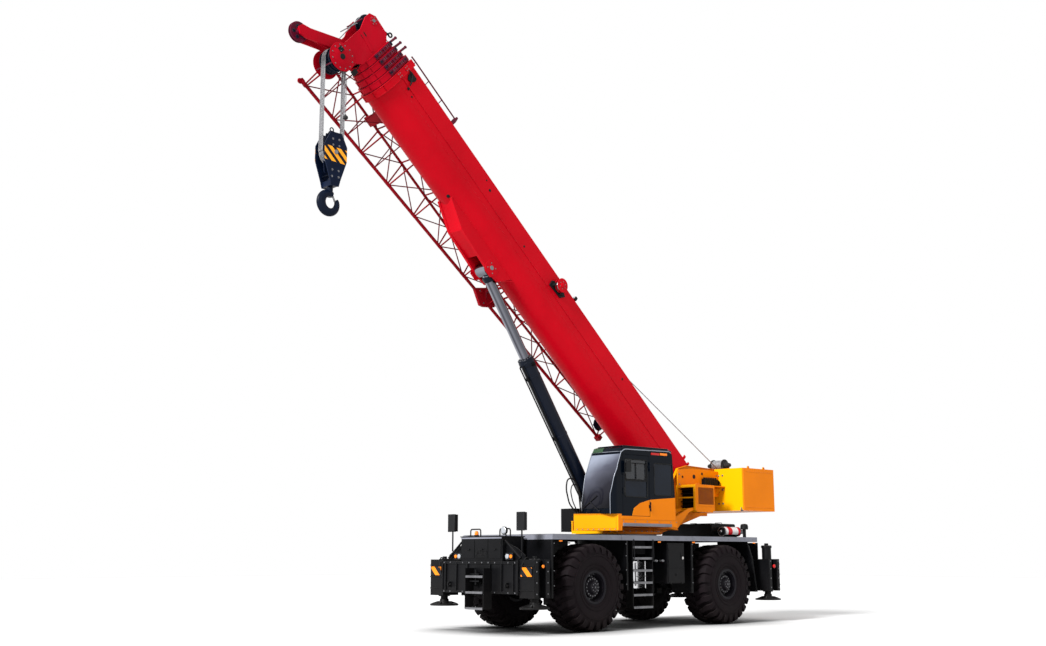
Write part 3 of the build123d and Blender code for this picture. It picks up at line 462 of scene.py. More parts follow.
    def pipe(self, pts, r, n=8, closed=False, round_=0.0, steps=5):
        """Tube along points, with corners rounded by round_ metres."""
        pts = [Vector(p) for p in pts]
        if round_ > 0 and len(pts) > 2:
            out = [pts[0]]
            for a, b, c in zip(pts, pts[1:], pts[2:]):
                k = min(round_, (b - a).length * 0.45, (c - b).length * 0.45)
                p, q = b + (a - b).normalized() * k, b + (c - b).normalized() * k
                for s in range(steps + 1):
                    u = s / steps
                    out.append(p * (1 - u) ** 2 + b * 2 * u * (1 - u) + q * u * u)
            pts = out + [pts[-1]]
        v, f = [], []
        last = None
        count = len(pts)
        for i, p in enumerate(pts):
            d = (pts[min(i + 1, count - 1)] - pts[max(i - 1, 0)]).normalized()
            if last is None:
                ref = Vector((0, 0, 1)) if abs(d.z) < 0.9 else Vector((0, 1, 0))
                x = ref.cross(d).normalized()
            else:
                x = (last - d * last.dot(d)).normalized()
            y = d.cross(x)
            last = x
            v += [p + (x * math.cos(2 * math.pi * k / n) + y * math.sin(2 * math.pi * k / n)) * r for k in range(n)]
        for i in range(count - 1):
            for k in range(n):
                j = (k + 1) % n
                f.append((i * n + k, i * n + j, (i + 1) * n + j, (i + 1) * n + k))
        f.append(tuple(range(n))[::-1])
        f.append(tuple(range((count - 1) * n, count * n)))
        return self.add(v, f)

    def rect_frame(self, pts, thick, depth, plane, a0):
        """Bars along a closed outline, such as a window's rubber."""
        for p, q in zip(pts, pts[1:] + pts[:1]):
            put = {"yz": lambda s: (a0, s[0], s[1]), "xz": lambda s: (s[0], a0, s[1]), "xy": lambda s: (s[0], s[1], a0)}[plane]
            self.rod(put(p), put(q), thick / 2, 8)
        return self

    def done(self, ride=True):
        me = bpy.data.meshes.new(self.name)
        me.from_pydata([tuple(p) for p in self.v], [], self.f)
        me.validate()
        me.update()
        me.shade_smooth()
        me.set_sharp_from_angle(angle=math.radians(self.smooth))
        o = bpy.data.objects.new(self.name, me)
        scene.collection.objects.link(o)
        me.materials.append(self.mat)
        if self.bevel:
            b = o.modifiers.new("bevel", "BEVEL")
            b.width, b.segments, b.limit_method, b.angle_limit = self.bevel, 2, "ANGLE", math.radians(40)
            b.harden_normals = False
        if ride:
            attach(o, self.body)
        return o


def paint(name, mat):
    o = NODES[name]
    if not o.material_slots:
        o.data.materials.append(mat)
    for s in o.material_slots:
        s.material = mat


# ------------------------------------------------------------------ wheels
AXLES = {"front": -2.400, "rear": 2.080}
R, W = 0.903, 0.745
CARCASS = [(0.284, 0.325), (0.318, 0.352), (0.322, 0.385), (0.344, 0.440), (0.362, 0.520), (0.3700, 0.600), (0.362, 0.690), (0.342, 0.755), (0.316, 0.802), (0.282, 0.828), (0.23, 0.838), (0.12, 0.842)]
profile = [(x, r) for x, r in CARCASS] + [(0.0, 0.843)] + [(-x, r) for x, r in CARCASS[::-1]]
# shoulder lug: (sideways, base radius, sideways at top, top radius, angle offset, half angle), angles as shares of the pitch
LUG = [(0.004, 0.850, 0.004, 0.9005, 0.50, 0.18), (0.10, 0.850, 0.10, 0.8998, 0.40, 0.19), (0.19, 0.848, 0.19, 0.8965, 0.16, 0.24), (0.27, 0.842, 0.276, 0.8895, 0.0, 0.27),
       (0.315, 0.826, 0.334, 0.868, 0.0, 0.27), (0.332, 0.795, 0.3635, 0.824, 0.0, 0.26), (0.348, 0.758, 0.3725, 0.772, 0.0, 0.25), (0.360, 0.705, 0.3725, 0.708, 0.0, 0.22)]
COUNT = 25


def tyre(name, body, at, hand):
    p = Part(name, body, TYRE, smooth=30, slot="tyre_rubber")
    p.lathe(at, (1, 0, 0), profile + [profile[0]], 100)
    fr = axis_frame(at, (1, 0, 0))
    pitch = 2 * math.pi / COUNT
    for side in (1, -1):
        for k in range(COUNT):
            base = (k + (0.5 if side < 0 else 0.0)) * pitch
            v, f = [], []
            for x0, r0, x1, r1, off, half in LUG:
                for x, r, d in ((x0, r0, -half * 1.12), (x1, r1, -half), (x1, r1, half), (x0, r0, half * 1.12)):
                    a = base + (off + d) * pitch * hand
                    v.append((r * math.cos(a), r * math.sin(a), x * side))
            n = len(LUG)
            for i in range(n - 1):
                for j in range(3):
                    f.append((i * 4 + j, i * 4 + j + 1, i * 4 + 5 + j, i * 4 + 4 + j))
            f += [(3, 2, 1, 0), (n * 4 - 4, n * 4 - 3, n * 4 - 2, n * 4 - 1)]
            if side * hand < 0:
                f = [g[::-1] for g in f]
            p.add(v, f, fr)
        # raised rings on the sidewall
        for ring, lift in ((0.655, 0.3705), (0.470, 0.3560), (0.395, 0.3300)):
            p.torus(Vector(at) + Vector((lift * side, 0, 0)), (1, 0, 0), ring, 0.006, 80, 6)
    o = p.done()
    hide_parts(name.replace("tread_", "tyre_"))
    return o


for end, ya in AXLES.items():
    for side, s in (("left", 1), ("right", -1)):
        tag = f"{end}_{side}"
        at = (1.185 * s, ya, R)
        tyre("tread_" + tag, "wheel_" + tag, at, s)
        paint("rim_" + tag, RIM)
        paint("knuckle_" + tag, CHASSIS)
        w = Part("wheel_detail_" + tag, "wheel_" + tag, RIM, bevel=0.003)
        ax = (s, 0, 0)
        c = Vector(at)
        # lock ring and gutter at the rim's outer edge, stepped dish, planetary hub with its cover
        w.lathe(c, ax, [(0.300, 0.300), (0.316, 0.304), (0.322, 0.322), (0.322, 0.338), (0.312, 0.350), (0.296, 0.352), (0.296, 0.300), (0.300, 0.300)], 64)
        w.lathe(c, ax, [(0.262, 0.296), (0.280, 0.290), (0.280, 0.282), (0.150, 0.262), (0.138, 0.262), (0.138, 0.296), (0.262, 0.296)], 64)
        w.lathe(c, ax, [(0.240, 0.206), (0.247, 0.200), (0.250, 0.150), (0.268, 0.142), (0.300, 0.118), (0.318, 0.112), (0.322, 0.100), (0.322, 0.052), (0.330, 0.046), (0.330, 0.0)], 48)
        w.done()
        b = Part("wheel_bolts_" + tag, "wheel_" + tag, STEEL)
        b.bolts(c + Vector((0.1375 * s, 0, 0)), ax, 0.236, 20, 0.013, 0.030)
        b.bolts(c + Vector((0.249 * s, 0, 0)), ax, 0.178, 16, 0.009, 0.012)
        b.bolts(c + Vector((0.321 * s, 0, 0)), ax, 0.078, 8, 0.007, 0.009)
        b.bolt(c + Vector((0.329 * s, 0, 0)), ax, 0.012, 0.012)
        # valve stem
        b.rod(c + Vector((0.20 * s, 0.0, 0.262)), c + Vector((0.285 * s, 0.0, 0.270)), 0.006)
        b.done()

# ------------------------------------------------------------------ carrier
for n, m in (("chassis_frame", CHASSIS), ("deck_and_arches", BLACK), ("outrigger_boxes", BLACK), ("axle_housings", CHASSIS), ("slewing_ring", STEEL),
             ("engine_hood", BLACK), ("engine_block", CAST), ("exhaust_and_intake", BLACK), ("polished_tank", POLISH), ("left_toolbox", BLACK),
             ("right_tank", BLACK), ("ladders", CHASSIS), ("end_cabinets", BLACK), ("mirrors_and_lamps", BLACK)):
    paint(n, m)
DX, DY0, DY1, DZ = 1.399, -3.524, 3.433, 1.986

trim = Part("deck_edge_trim", "carrier", GREY, bevel=0.003)
for s in (-1, 1):
    for y0, y1 in ((DY0, -1.45), (-1.444, 0.98), (0.986, DY1)):
        trim.box(s * DX, s * (DX + 0.006), y0, y1, DZ - 0.108, DZ - 0.002)
trim.box(-DX, DX, DY0 - 0.006, DY0, DZ - 0.108, DZ - 0.002).box(-DX, DX, DY1, DY1 + 0.006, DZ - 0.108, DZ - 0.002)
trim.done()

deck = Part("deck_plates", "carrier", DECK, bevel=0.002)
# columns: X from, to, Y from, to
for x0, x1, y0, y1 in ((0.42, 1.38, -3.50, -2.45), (0.42, 1.38, -2.43, -1.20), (-1.38, -0.42, -3.50, -2.45), (-1.38, -0.42, -2.43, -1.20), (-0.40, 0.40, -3.50, -2.30), (-0.40, 0.40, -2.28, -1.12),
                       (1.06, 1.38, -1.18, 0.10), (1.06, 1.38, 0.12, 1.30), (-1.38, -1.06, -1.18, 0.10), (-1.38, -1.06, 0.12, 1.30), (0.82, 1.38, 1.32, 2.44), (-1.38, -0.82, 1.32, 2.44), (-0.80, 0.80, 1.06, 1.72), (-0.80, 0.80, 1.74, 2.44)):
    deck.box(x0, x1, y0, y1, DZ, DZ + 0.004)
    nx, ny = max(2, int((x1 - x0) / 0.09)), max(2, int((y1 - y0) / 0.09))
    for i in range(nx):
        for j in range(ny):
            cx, cy = x0 + (i + 0.5) * (x1 - x0) / nx, y0 + (j + 0.5) * (y1 - y0) / ny
            d = 0.026 if (i + j) % 2 else -0.026
            deck.add([(cx - 0.020, cy - d, DZ + 0.004), (cx + 0.004, cy + d * 0.15, DZ + 0.004), (cx + 0.020, cy + d, DZ + 0.004), (cx - 0.004, cy - d * 0.15, DZ + 0.004), (cx, cy, DZ + 0.0065)],
                     [(0, 1, 4), (1, 2, 4), (2, 3, 4), (3, 0, 4)] if d > 0 else [(1, 0, 4), (2, 1, 4), (3, 2, 4), (0, 3, 4)])
deck.bevel = 0
deck.done()

# flanges and beads on the wheel arches, and their stays
arch = Part("arch_flanges", "carrier", BLACK, bevel=0.003)
for ya, d, low in ((-2.400, -1, 0.700), (-2.400, 1, 0.820), (2.080, -1, 0.720)):
    y = ya + d * 1.112
    for s in (-1, 1):
        y0, y1 = sorted((y, y - d * 0.0 + d * 0.050))
        arch.box(s * 1.372, s * 1.398, y0, y1, low, 1.870)
        arch.box(s * 0.80, s * 1.372, y + d * 0.012, y + d * 0.050, low, low + 0.020)
        for z in (1.05, 1.45):
            arch.box(s * 0.80, s * 1.37, y + d * 0.012, y + d * 0.034, z, z + 0.030)
for s in (-1, 1):
    arch.prism([(3.062, 1.80), (3.205, 1.48), (3.352, 0.70), (3.400, 0.70), (3.245, 1.49), (3.11, 1.80)], "yz", s * 1.374, s * 1.396)
arch.done()
ab = Part("arch_bolts", "carrier", STEEL)
for s in (-1, 1):
    for y in (-3.49, -1.30, 0.95):
        for z in (0.95, 1.25, 1.55, 1.80):
            ab.bolt((s * 1.398, y + (0.0 if y < 0 else 0.0), z), (s, 0, 0), 0.009, 0.008)
    for k in range(22):
        ab.bolt((s * (DX + 0.006), DY0 + 0.16 + k * 0.315, DZ - 0.055), (s, 0, 0), 0.007, 0.007)
ab.done()

# frame furniture: pipes, side plates' edge strips, propeller shafts, links
fr = Part("frame_pipes", "carrier", RUBBER)
for s in (-1, 1):
    for k, z in enumerate((1.20, 1.25, 1.30)):
        fr.pipe([(s * 0.405, -3.55, z), (s * 0.405, -1.2, z), (s * 0.415, -1.0, z + 0.02), (s * 0.405, 0.9, z), (s * 0.405, 3.4, z)], 0.013, 8)
    for ya in (-2.4, 2.08):
        fr.pipe([(s * 0.40, ya - 0.30, 1.32), (s * 0.52, ya - 0.24, 1.24), (s * 0.66, ya - 0.12, 1.13), (s * 0.76, ya - 0.05, 1.17)], 0.014, 8, round_=0.05)
        fr.pipe([(s * 0.40, ya + 0.30, 1.32), (s * 0.52, ya + 0.24, 1.26), (s * 0.64, ya + 0.13, 1.14), (s * 0.76, ya + 0.05, 1.18)], 0.012, 8, round_=0.05)
fr.done()
fl = Part("frame_flanges", "carrier", CHASSIS, bevel=0.003)
for s in (-1, 1):
    for z0, z1 in ((1.080, 1.100), (1.540, 1.560)):
        fl.box(s * 0.380, s * 0.440, -3.78, -1.30, z0, z1).box(s * 0.380, s * 0.440, -1.27, 0.95, z0, z1).box(s * 0.380, s * 0.440, 3.22, 3.54, z0, z1)
    for y in (-3.6, -1.25, -0.6, 0.0, 0.6):
        fl.box(s * 0.380, s * 0.436, y, y + 0.014, 1.10, 1.54)
    for y in (-0.62, 0.30):
        fl.prism([(s * 0.38, 1.56), (s * 0.72, 1.72), (s * 0.86, 1.93), (s * 0.38, 1.93)], "xz", y, y + 0.016)
fl.done()
ax = Part("axle_details", "carrier", CHASSIS, bevel=0.003)
for ya, d in ((-2.400, 1), (2.080, -1)):
    # differential cover, pinion nose, housing collars
    ax.lathe((0, ya - d * 0.20, R), (0, -d, 0), [(0, 0.190), (0.03, 0.185), (0.07, 0.135), (0.085, 0.09), (0.088, 0.0)], 32)
    ax.lathe((0, ya + d * 0.18, R), (0, d, 0), [(0, 0.15), (0.10, 0.12), (0.22, 0.085), (0.24, 0.095), (0.27, 0.095), (0.27, 0.0)], 28)
    for x in (0.24, 0.40, 0.54):
        for s in (-1, 1):
            ax.tube((s * x, ya, R), "X", 0.135, 0.116, 0.030, 28)
    # suspension cylinder stubs and trailing links under the frame
    for s in (-1, 1):
        ax.cyl((s * 0.485, ya + 0.16, 1.16), "Z", 0.050, 0.34, 20)
        ax.cyl((s * 0.485, ya + 0.16, 1.36), "Z", 0.068, 0.12, 20)
        ax.rod((s * 0.30, ya + d * 0.10, 0.80), (s * 0.24, ya + d * 0.80, 1.12), 0.034, 14)
        ax.cyl((s * 0.30, ya + d * 0.10, 0.80), "X", 0.055, 0.09, 18).cyl((s * 0.24, ya + d * 0.80, 1.12), "X", 0.055, 0.09, 18)
ax.done()
ps = Part("propeller_shafts", "carrier", CAST)
for y0, y1, z1 in ((-1.94, -0.45, 1.20), (1.62, 0.45, 1.20)):
    ps.rod((0, y0, R), (0, y1, z1), 0.050, 20)
    for t in (0.04, 0.96):
        p = Vector((0, y0, R)).lerp(Vector((0, y1, z1)), t)
        ps.cyl(p, (0, y1 - y0, z1 - R), 0.078, 0.06, 20)
ps.cyl((0, 0, 1.22), "Y", 0.20, 0.86, 28).cyl((0, -0.2, 1.22), "Y", 0.235, 0.10, 28).cyl((0, 0.2, 1.22), "Y", 0.235, 0.08, 28)
ps.bolts((0, -0.25, 1.22), (0, -1, 0), 0.21, 14, 0.010, 0.012)
ps.done()
# steering cylinders and track rods ride on the carrier beside each axle
st = Part("steering_cylinders", "carrier", CHASSIS)
for ya, d in ((-2.400, 1), (2.080, -1)):
    for s in (-1, 1):
        st.rod((s * 0.14, ya - d * 0.27, R + 0.04), (s * 0.46, ya - d * 0.27, R + 0.04), 0.042, 18)
        st.cyl((s * 0.12, ya - d * 0.27, R + 0.04), "Y", 0.05, 0.07, 18)
st.done()
sr = Part("steering_rods", "carrier", CHROME)
for ya, d in ((-2.400, 1), (2.080, -1)):
    for s in (-1, 1):
        sr.rod((s * 0.46, ya - d * 0.27, R + 0.04), (s * 0.56, ya - d * 0.27, R + 0.04), 0.022, 14)
sr.done()
for end, ya in AXLES.items():
    for side, s in (("left", 1), ("right", -1)):
        k = Part(f"knuckle_detail_{end}_{side}", f"steering_knuckle_{end}_{side}", CHASSIS, bevel=0.003)
        for d in (-1, 1):
            k.lathe((s * 0.85, ya, R + d * 0.252), (0, 0, d), [(0, 0.052), (0.018, 0.050), (0.022, 0.040), (0.022, 0.0)], 24)
        k.tube((s * 0.980, ya, R), "X", 0.165, 0.149, 0.036, 32)
        k.bolts((s * 0.85, ya, R + 0.272), (0, 0, 1), 0.030, 6, 0.005, 0.006)
        k.done()

# ------------------------------------------------------------------ outriggers
for end, yc, top in (("front", -4.040, 1.470), ("rear", 3.800, 1.780)):
    out = -1 if end == "front" else 1
    for side, s in (("left", 1), ("right", -1)):
        tag = f"{end}_{side}"
        paint("outrigger_beam_" + tag, BLACK)
        paint("outrigger_jack_" + tag, BLACK)
        body = "outrigger_" + tag
        h = Part("outrigger_detail_" + tag, body, BLACK, bevel=0.004)
        # housing ribs, top cap with bolts, hose guard, side handle
        for z in (0.86, 1.10, 1.34):
            h.box(s * 1.185, s * 1.612, yc + out * 0.215, yc + out * 0.232, z, z + 0.022)
        h.box(s * 1.60, s * 1.618, yc - 0.20, yc - 0.11, 0.74, 1.45).box(s * 1.60, s * 1.618, yc + 0.11, yc + 0.20, 0.74, 1.45)
        h.lathe((s * 1.40, yc, top), (0, 0, 1), [(-0.045, 0.128), (0.0, 0.128), (0.012, 0.118), (0.016, 0.05), (0.060, 0.048), (0.066, 0.040), (0.066, 0.0)], 32)
        h.tube((s * 1.40, yc, 0.712), "Z", 0.124, 0.086, 0.030, 32)
        h.done()
        hb = Part("outrigger_bolts_" + tag, body, STEEL)
        hb.bolts((s * 1.40, yc, top + 0.008), (0, 0, 1), 0.100, 8, 0.009, 0.010)
        for z in (0.80, 1.02, 1.24, 1.42):
            hb.bolt((s * 1.618, yc - 0.155, z), (s, 0, 0), 0.010, 0.010).bolt((s * 1.618, yc + 0.155, z), (s, 0, 0), 0.010, 0.010)
        hb.done()
        hp = Part("outrigger_hoses_" + tag, body, RUBBER)
        hp.pipe([(s * 1.33, yc + out * 0.10, top + 0.02), (s * 1.33, yc + out * 0.17, top + 0.05), (s * 1.28, yc + out * 0.235, top - 0.10), (s * 1.27, yc + out * 0.240, 1.30), (s * 1.22, yc + out * 0.225, 1.12)], 0.012, 8, round_=0.05)
        hp.done()
        hz = Part("outrigger_stripes_" + tag, body, HAZARDX, bevel=0.002)
        hz.box(s * 1.24, s * 1.56, yc + out * 0.233, yc + out * 0.237, 1.14, 1.32)
        hz.done()
        lm = Part("outrigger_lamp_" + tag, body, AMBERLAMP if end == "front" else REDLAMP)
        if end == "rear":
            lm.lathe((s * 1.618, yc - 0.02, 1.30), (s, 0, 0), [(0, 0.045), (0.018, 0.042), (0.026, 0.03), (0.028, 0.0)], 24)
        else:
            lm.lathe((s * 1.618, yc + 0.02, 1.34), (s, 0, 0), [(0, 0.034), (0.014, 0.032), (0.02, 0.02), (0.022, 0.0)], 24)
        lm.done()
        j = Part("jack_detail_" + tag, "jack_" + tag, BLACK, bevel=0.003)
        c = Vector((s * 1.40, yc, 0))
        j.lathe(c + Vector((0, 0, 0.502)), (0, 0, 1), [(0.0, 0.300), (0.010, 0.306), (0.030, 0.304), (0.038, 0.290), (0.044, 0.17), (0.088, 0.155), (0.090, 0.10), (0.140, 0.092), (0.142, 0.078)], 48)
        for k in range(6):
            a = 2 * math.pi * k / 6
            m = Matrix.Translation(c) @ Matrix.Rotation(a, 4, "Z")
            j.prism([(0.155, 0.590), (0.285, 0.548), (0.285, 0.538), (0.155, 0.538)], "xz", -0.006, 0.006, m)
        j.done()

ob = Part("outrigger_box_details", "carrier", BLACK, bevel=0.004)
for yc, out in ((-4.040, -1), (3.800, 1)):
    y = yc + out * 0.240
    for x in (-1.05, -0.70, -0.35, 0.35, 0.70, 1.05):
        ob.box(x - 0.010, x + 0.010, y, y + out * 0.035, 0.80, 1.43)
    ob.box(-1.17, 1.17, y, y + out * 0.022, 1.38, 1.44).box(-1.17, 1.17, y, y + out * 0.022, 0.79, 0.84)
    for s in (-1, 1):
        ob.box(s * 1.150, s * 1.178, yc - 0.262, yc - 0.241, 0.775, 1.455).box(s * 1.150, s * 1.178, yc + 0.241, yc + 0.262, 0.775, 1.455)
        ob.box(s * 1.150, s * 1.178, yc - 0.250, yc + 0.250, 0.775, 0.812).box(s * 1.150, s * 1.178, yc - 0.250, yc + 0.250, 1.418, 1.455)
ob.done()
obb = Part("outrigger_box_bolts", "carrier", STEEL)
for yc, out in ((-4.040, -1), (3.800, 1)):
    for x in np.linspace(-1.10, 1.10, 12):
        obb.bolt((float(x), yc + out * 0.262, 1.41), (0, out, 0), 0.010, 0.010).bolt((float(x), yc + out * 0.262, 0.815), (0, out, 0), 0.010, 0.010)
obb.done()

# ------------------------------------------------------------------ front cabinet, mirrors, lamps
fc = Part("front_cabinet_details", "carrier", BLACK, bevel=0.004)
YF = -4.220
for x0, x1 in ((-0.60, -0.22), (-0.20, 0.20), (0.22, 0.60)):
    fc.box(x0, x1, YF - 0.012, YF, 1.50, 1.89)
for x in (-0.41, 0.0, 0.41):
    fc.box(x - 0.05, x + 0.05, YF - 0.034, YF - 0.012, 1.66, 1.69)
fc.box(-0.66, 0.66, YF - 0.02, -3.60, 1.930, 1.950)
for k in range(9):
    fc.box(-0.17, 0.17, YF - 0.022, YF - 0.010, 1.53 + k * 0.014, 1.537 + k * 0.014)
# towing jaw and its pin, sloping stay
fc.box(-0.14, 0.14, -4.42, -4.28, 1.02, 1.05).box(-0.14, 0.14, -4.42, -4.28, 1.16, 1.19)
fc.cyl((0, -4.37, 1.115), "Z", 0.028, 0.30, 20)
fc.rod((0.66, -4.16, 1.86), (1.12, -4.16, 1.50), 0.022, 12).rod((-0.66, -4.16, 1.86), (-1.12, -4.16, 1.50), 0.022, 12)
fc.done()
fg = Part("front_panel_grey", "carrier", GREY, bevel=0.003)
fg.box(-0.63, 0.63, YF - 0.020, YF - 0.010, 1.895, 1.925)
fg.done()
ra = Part("front_rails", "carrier", BLACK)
for s in (-1, 1):
    ra.pipe([(s * 0.62, -3.98, 1.93), (s * 0.62, -3.98, 2.10), (s * 0.30, -3.98, 2.10), (s * 0.30, -3.98, 1.93)], 0.014, 10, round_=0.05)
    # grab rails above the ladders
    y0, y1 = (-1.06, -0.42) if s > 0 else (-1.06, -0.76)
    for y in (y0, y1):
        ra.pipe([(s * 1.41, y, 1.90), (s * 1.425, y, 1.55), (s * 1.405, y, 1.44)], 0.012, 10, round_=0.04)
ra.done()
mi = Part("mirror_backs", "carrier", PLASTIC, bevel=0.008)
mg = Part("mirror_glasses", "carrier", POLISH)
mb = Part("mirror_brackets", "carrier", BLACK)
for s in (-1, 1):
    x = s * 1.08
    mi.box(x - 0.112, x + 0.112, -4.140, -4.092, 2.052, 2.428)
    mg.box(x - 0.095, x + 0.095, -4.044, -4.040, 2.08, 2.40)
    mb.pipe([(x, -4.09, 1.60), (x, -4.10, 1.52), (x - s * 0.10, -4.10, 1.46)], 0.018, 10, round_=0.04)
    for z in (2.14, 2.34):
        mb.box(x - 0.03, x + 0.03, -4.10, -4.06, z - 0.02, z + 0.02)
mi.done(), mg.done(), mb.done()

lb = Part("lamp_housings", "carrier", PLASTIC, bevel=0.004)
lc = Part("lamp_clear_lenses", "carrier", CLEARLAMP)
la = Part("lamp_amber_lenses", "carrier", AMBERLAMP)
lr = Part("lamp_red_lenses", "carrier", REDLAMP)
for s in (-1, 1):
    lb.box(s * 0.69, s * 0.91, -4.186, -4.170, 1.462, 1.608)
    lc.lathe((s * 0.75, -4.186, 1.535), (0, -1, 0), [(0, 0.052), (0.014, 0.050), (0.022, 0.036), (0.025, 0.0)], 28)
    la.lathe((s * 0.86, -4.186, 1.535), (0, -1, 0), [(0, 0.038), (0.012, 0.036), (0.018, 0.022), (0.020, 0.0)], 28)
    lb.box(s * 0.69, s * 0.91, 3.840, 3.852, 1.492, 1.648)
    for x, p in ((0.73, lr), (0.80, la), (0.87, lr)):
        p.lathe((s * x, 3.852, 1.57), (0, 1, 0), [(0, 0.032), (0.010, 0.031), (0.016, 0.02), (0.018, 0.0)], 24)
    # side markers under the deck edge
    for y in (-3.30, -0.20, 1.0, 3.30):
        la.box(s * 1.399, s * 1.412, y - 0.04, y + 0.04, 1.835, 1.862)
# round work lamp and flashing beacon at the front left
lb.lathe((0.52, -4.05, 2.06), (0, -1, 0), [(-0.05, 0.0), (-0.045, 0.04), (-0.02, 0.078), (0.03, 0.085), (0.035, 0.08)], 28)
lc.lathe((0.52, -4.085, 2.06), (0, -1, 0), [(0, 0.078), (0.008, 0.07), (0.014, 0.04), (0.016, 0.0)], 28)
lb.rod((0.52, -4.03, 2.02), (0.52, -4.00, 1.94), 0.014)
lb.lathe((-0.50, -3.92, 1.95), (0, 0, 1), [(0, 0.05), (0.03, 0.05), (0.035, 0.045)], 24)
la.lathe((-0.50, -3.92, 1.985), (0, 0, 1), [(0, 0.044), (0.05, 0.042), (0.075, 0.03), (0.085, 0.0)], 24)
lb.done(), lc.done(), la.done(), lr.done()

# ------------------------------------------------------------------ side furniture
tk = Part("tank_straps", "carrier", STEEL, bevel=0.002)
for y in (-0.74, -0.36):
    tk.box(1.160, 1.166, y - 0.02, y + 0.02, 0.90, 1.40)
    tk.box(0.70, 1.13, y - 0.02, y + 0.02, 1.430, 1.436)
tk.lathe((1.05, -0.56, 1.43), (0, 0, 1), [(0, 0.05), (0.03, 0.05), (0.034, 0.062), (0.062, 0.060), (0.066, 0.05), (0.066, 0.0)], 28)
tk.box(1.160, 1.168, -0.70, -0.40, 1.10, 1.115)
for y in (-0.30, -0.08):
    tk.lathe((1.385, y, 1.44), (1, 0, 0), [(-0.10, 0.018), (-0.02, 0.018), (-0.02, 0.027), (0.01, 0.027), (0.012, 0.020), (0.035, 0.018), (0.035, 0.0)], 18)
tk.done()
tb = Part("toolbox_details", "carrier", BLACK, bevel=0.004)
tb.box(1.370, 1.382, 0.125, 0.675, 1.29, 1.80).box(1.370, 1.382, 0.125, 0.675, 0.97, 1.26)
for z in (1.42, 1.68):
    tb.cyl((1.384, 0.135, z), "Z", 0.012, 0.07, 12)
tb.box(1.382, 1.392, 0.56, 0.60, 1.48, 1.62).box(1.382, 1.398, 0.38, 0.42, 1.10, 1.16)
for y in (0.20, 0.60):
    tb.box(1.36, 1.385, y - 0.015, y + 0.015, 0.93, 0.96)
tb.done()
tw = Part("toolbox_reflector", "carrier", WHITE)
tw.lathe((1.382, 0.625, 1.50), (1, 0, 0), [(0, 0.030), (0.004, 0.030), (0.006, 0.024), (0.006, 0.0)], 24)
tw.done()
rt = Part("right_tank_details", "carrier", BLACK, bevel=0.004)
for y in (-0.55, -0.10, 0.35):
    rt.box(-1.378, -1.370, y - 0.03, y + 0.03, 0.93, 1.49)
    rt.box(-1.31, -0.78, y - 0.03, y + 0.03, 1.560, 1.568)
rt.lathe((-1.22, -0.45, 1.56), (0, 0, 1), [(0, 0.05), (0.03, 0.05), (0.034, 0.066), (0.064, 0.064), (0.07, 0.05), (0.07, 0.0)], 28)
rt.box(-1.376, -1.370, 0.40, 0.52, 1.00, 1.42)
rt.done()
ld = Part("ladder_grips", "carrier", GRATE)
# toothed tread strips on every rung: side ladders, then front steps
for s in (-1, 1):
    y0, y1 = (-1.080, -0.400) if s > 0 else (-1.080, -0.740)
    for z in (0.440, 0.700, 0.960, 1.220, 1.480, 1.720):
        n = int((y1 - y0 - 0.10) / 0.042)
        for k in range(n):
            y = y0 + 0.07 + k * 0.042
            for x in (1.235, 1.325):
                ld.add([(s * x - 0.012, y - 0.010, z + 0.030), (s * x + 0.012, y - 0.010, z + 0.030), (s * x + 0.012, y + 0.010, z + 0.030), (s * x - 0.012, y + 0.010, z + 0.030), (s * x, y, z + 0.037)], [(0, 1, 4), (1, 2, 4), (2, 3, 4), (3, 0, 4)])
        ld.box(s * 1.380, s * 1.386, y0 + 0.03, y1 - 0.03, z - 0.012, z + 0.034)
for z in (0.480, 0.800, 1.120):
    ld.box(-0.160, 0.360, -4.516, -4.508, z - 0.012, z + 0.030)
    for k in range(11):
        x = -0.13 + k * 0.047
        for y in (-4.46, -4.34):
            ld.add([(x - 0.010, y - 0.012, z + 0.030), (x + 0.010, y - 0.012, z + 0.030), (x + 0.010, y + 0.012, z + 0.030), (x - 0.010, y + 0.012, z + 0.030), (x, y, z + 0.037)], [(0, 1, 4), (1, 2, 4), (2, 3, 4), (3, 0, 4)])
ld.done()

# ------------------------------------------------------------------ engine hood, exhaust, intake
hd = Part("hood_details", "carrier", BLACK, bevel=0.004)
for s in (-1, 1):
    for k in range(11):
        y = 2.60 + k * 0.052
        hd.prism([(s * 0.780, 2.06), (s * 0.796, 2.075), (s * 0.796, 2.22), (s * 0.780, 2.235)], "xz", y, y + 0.026)
    hd.box(s * 0.780, s * 0.790, 2.50, 3.38, 2.005, 2.030)
hd.box(-0.765, -0.01, 2.50, 3.38, 2.300, 2.312).box(0.01, 0.765, 2.50, 3.38, 2.300, 2.312)
for x in (-0.39, 0.39):
    for k in range(9):
        hd.box(x - 0.24, x + 0.24, 2.62 + k * 0.045, 2.64 + k * 0.045, 2.312, 2.322)
    hd.pipe([(x - 0.10, 3.25, 2.312), (x - 0.10, 3.25, 2.345), (x + 0.10, 3.25, 2.345), (x + 0.10, 3.25, 2.312)], 0.008, 8, round_=0.02)
for k in range(12):
    hd.box(-0.66, 0.66, 3.400, 3.408, 2.03 + k * 0.020, 2.041 + k * 0.020)
hd.done()
ex = Part("silencer_shield", "carrier", REDWHITE, smooth=50)
v = [(1.010 + 0.112 * math.cos(a), y, 2.120 + 0.112 * math.sin(a)) for y in np.linspace(2.60, 3.16, 8) for a in np.linspace(math.radians(-40), math.radians(170), 22)]
ex.add(v, [(i * 22 + k, i * 22 + k + 1, (i + 1) * 22 + k + 1, (i + 1) * 22 + k) for i in range(7) for k in range(21)])
ex.done()
ed = Part("exhaust_details", "carrier", STEEL)
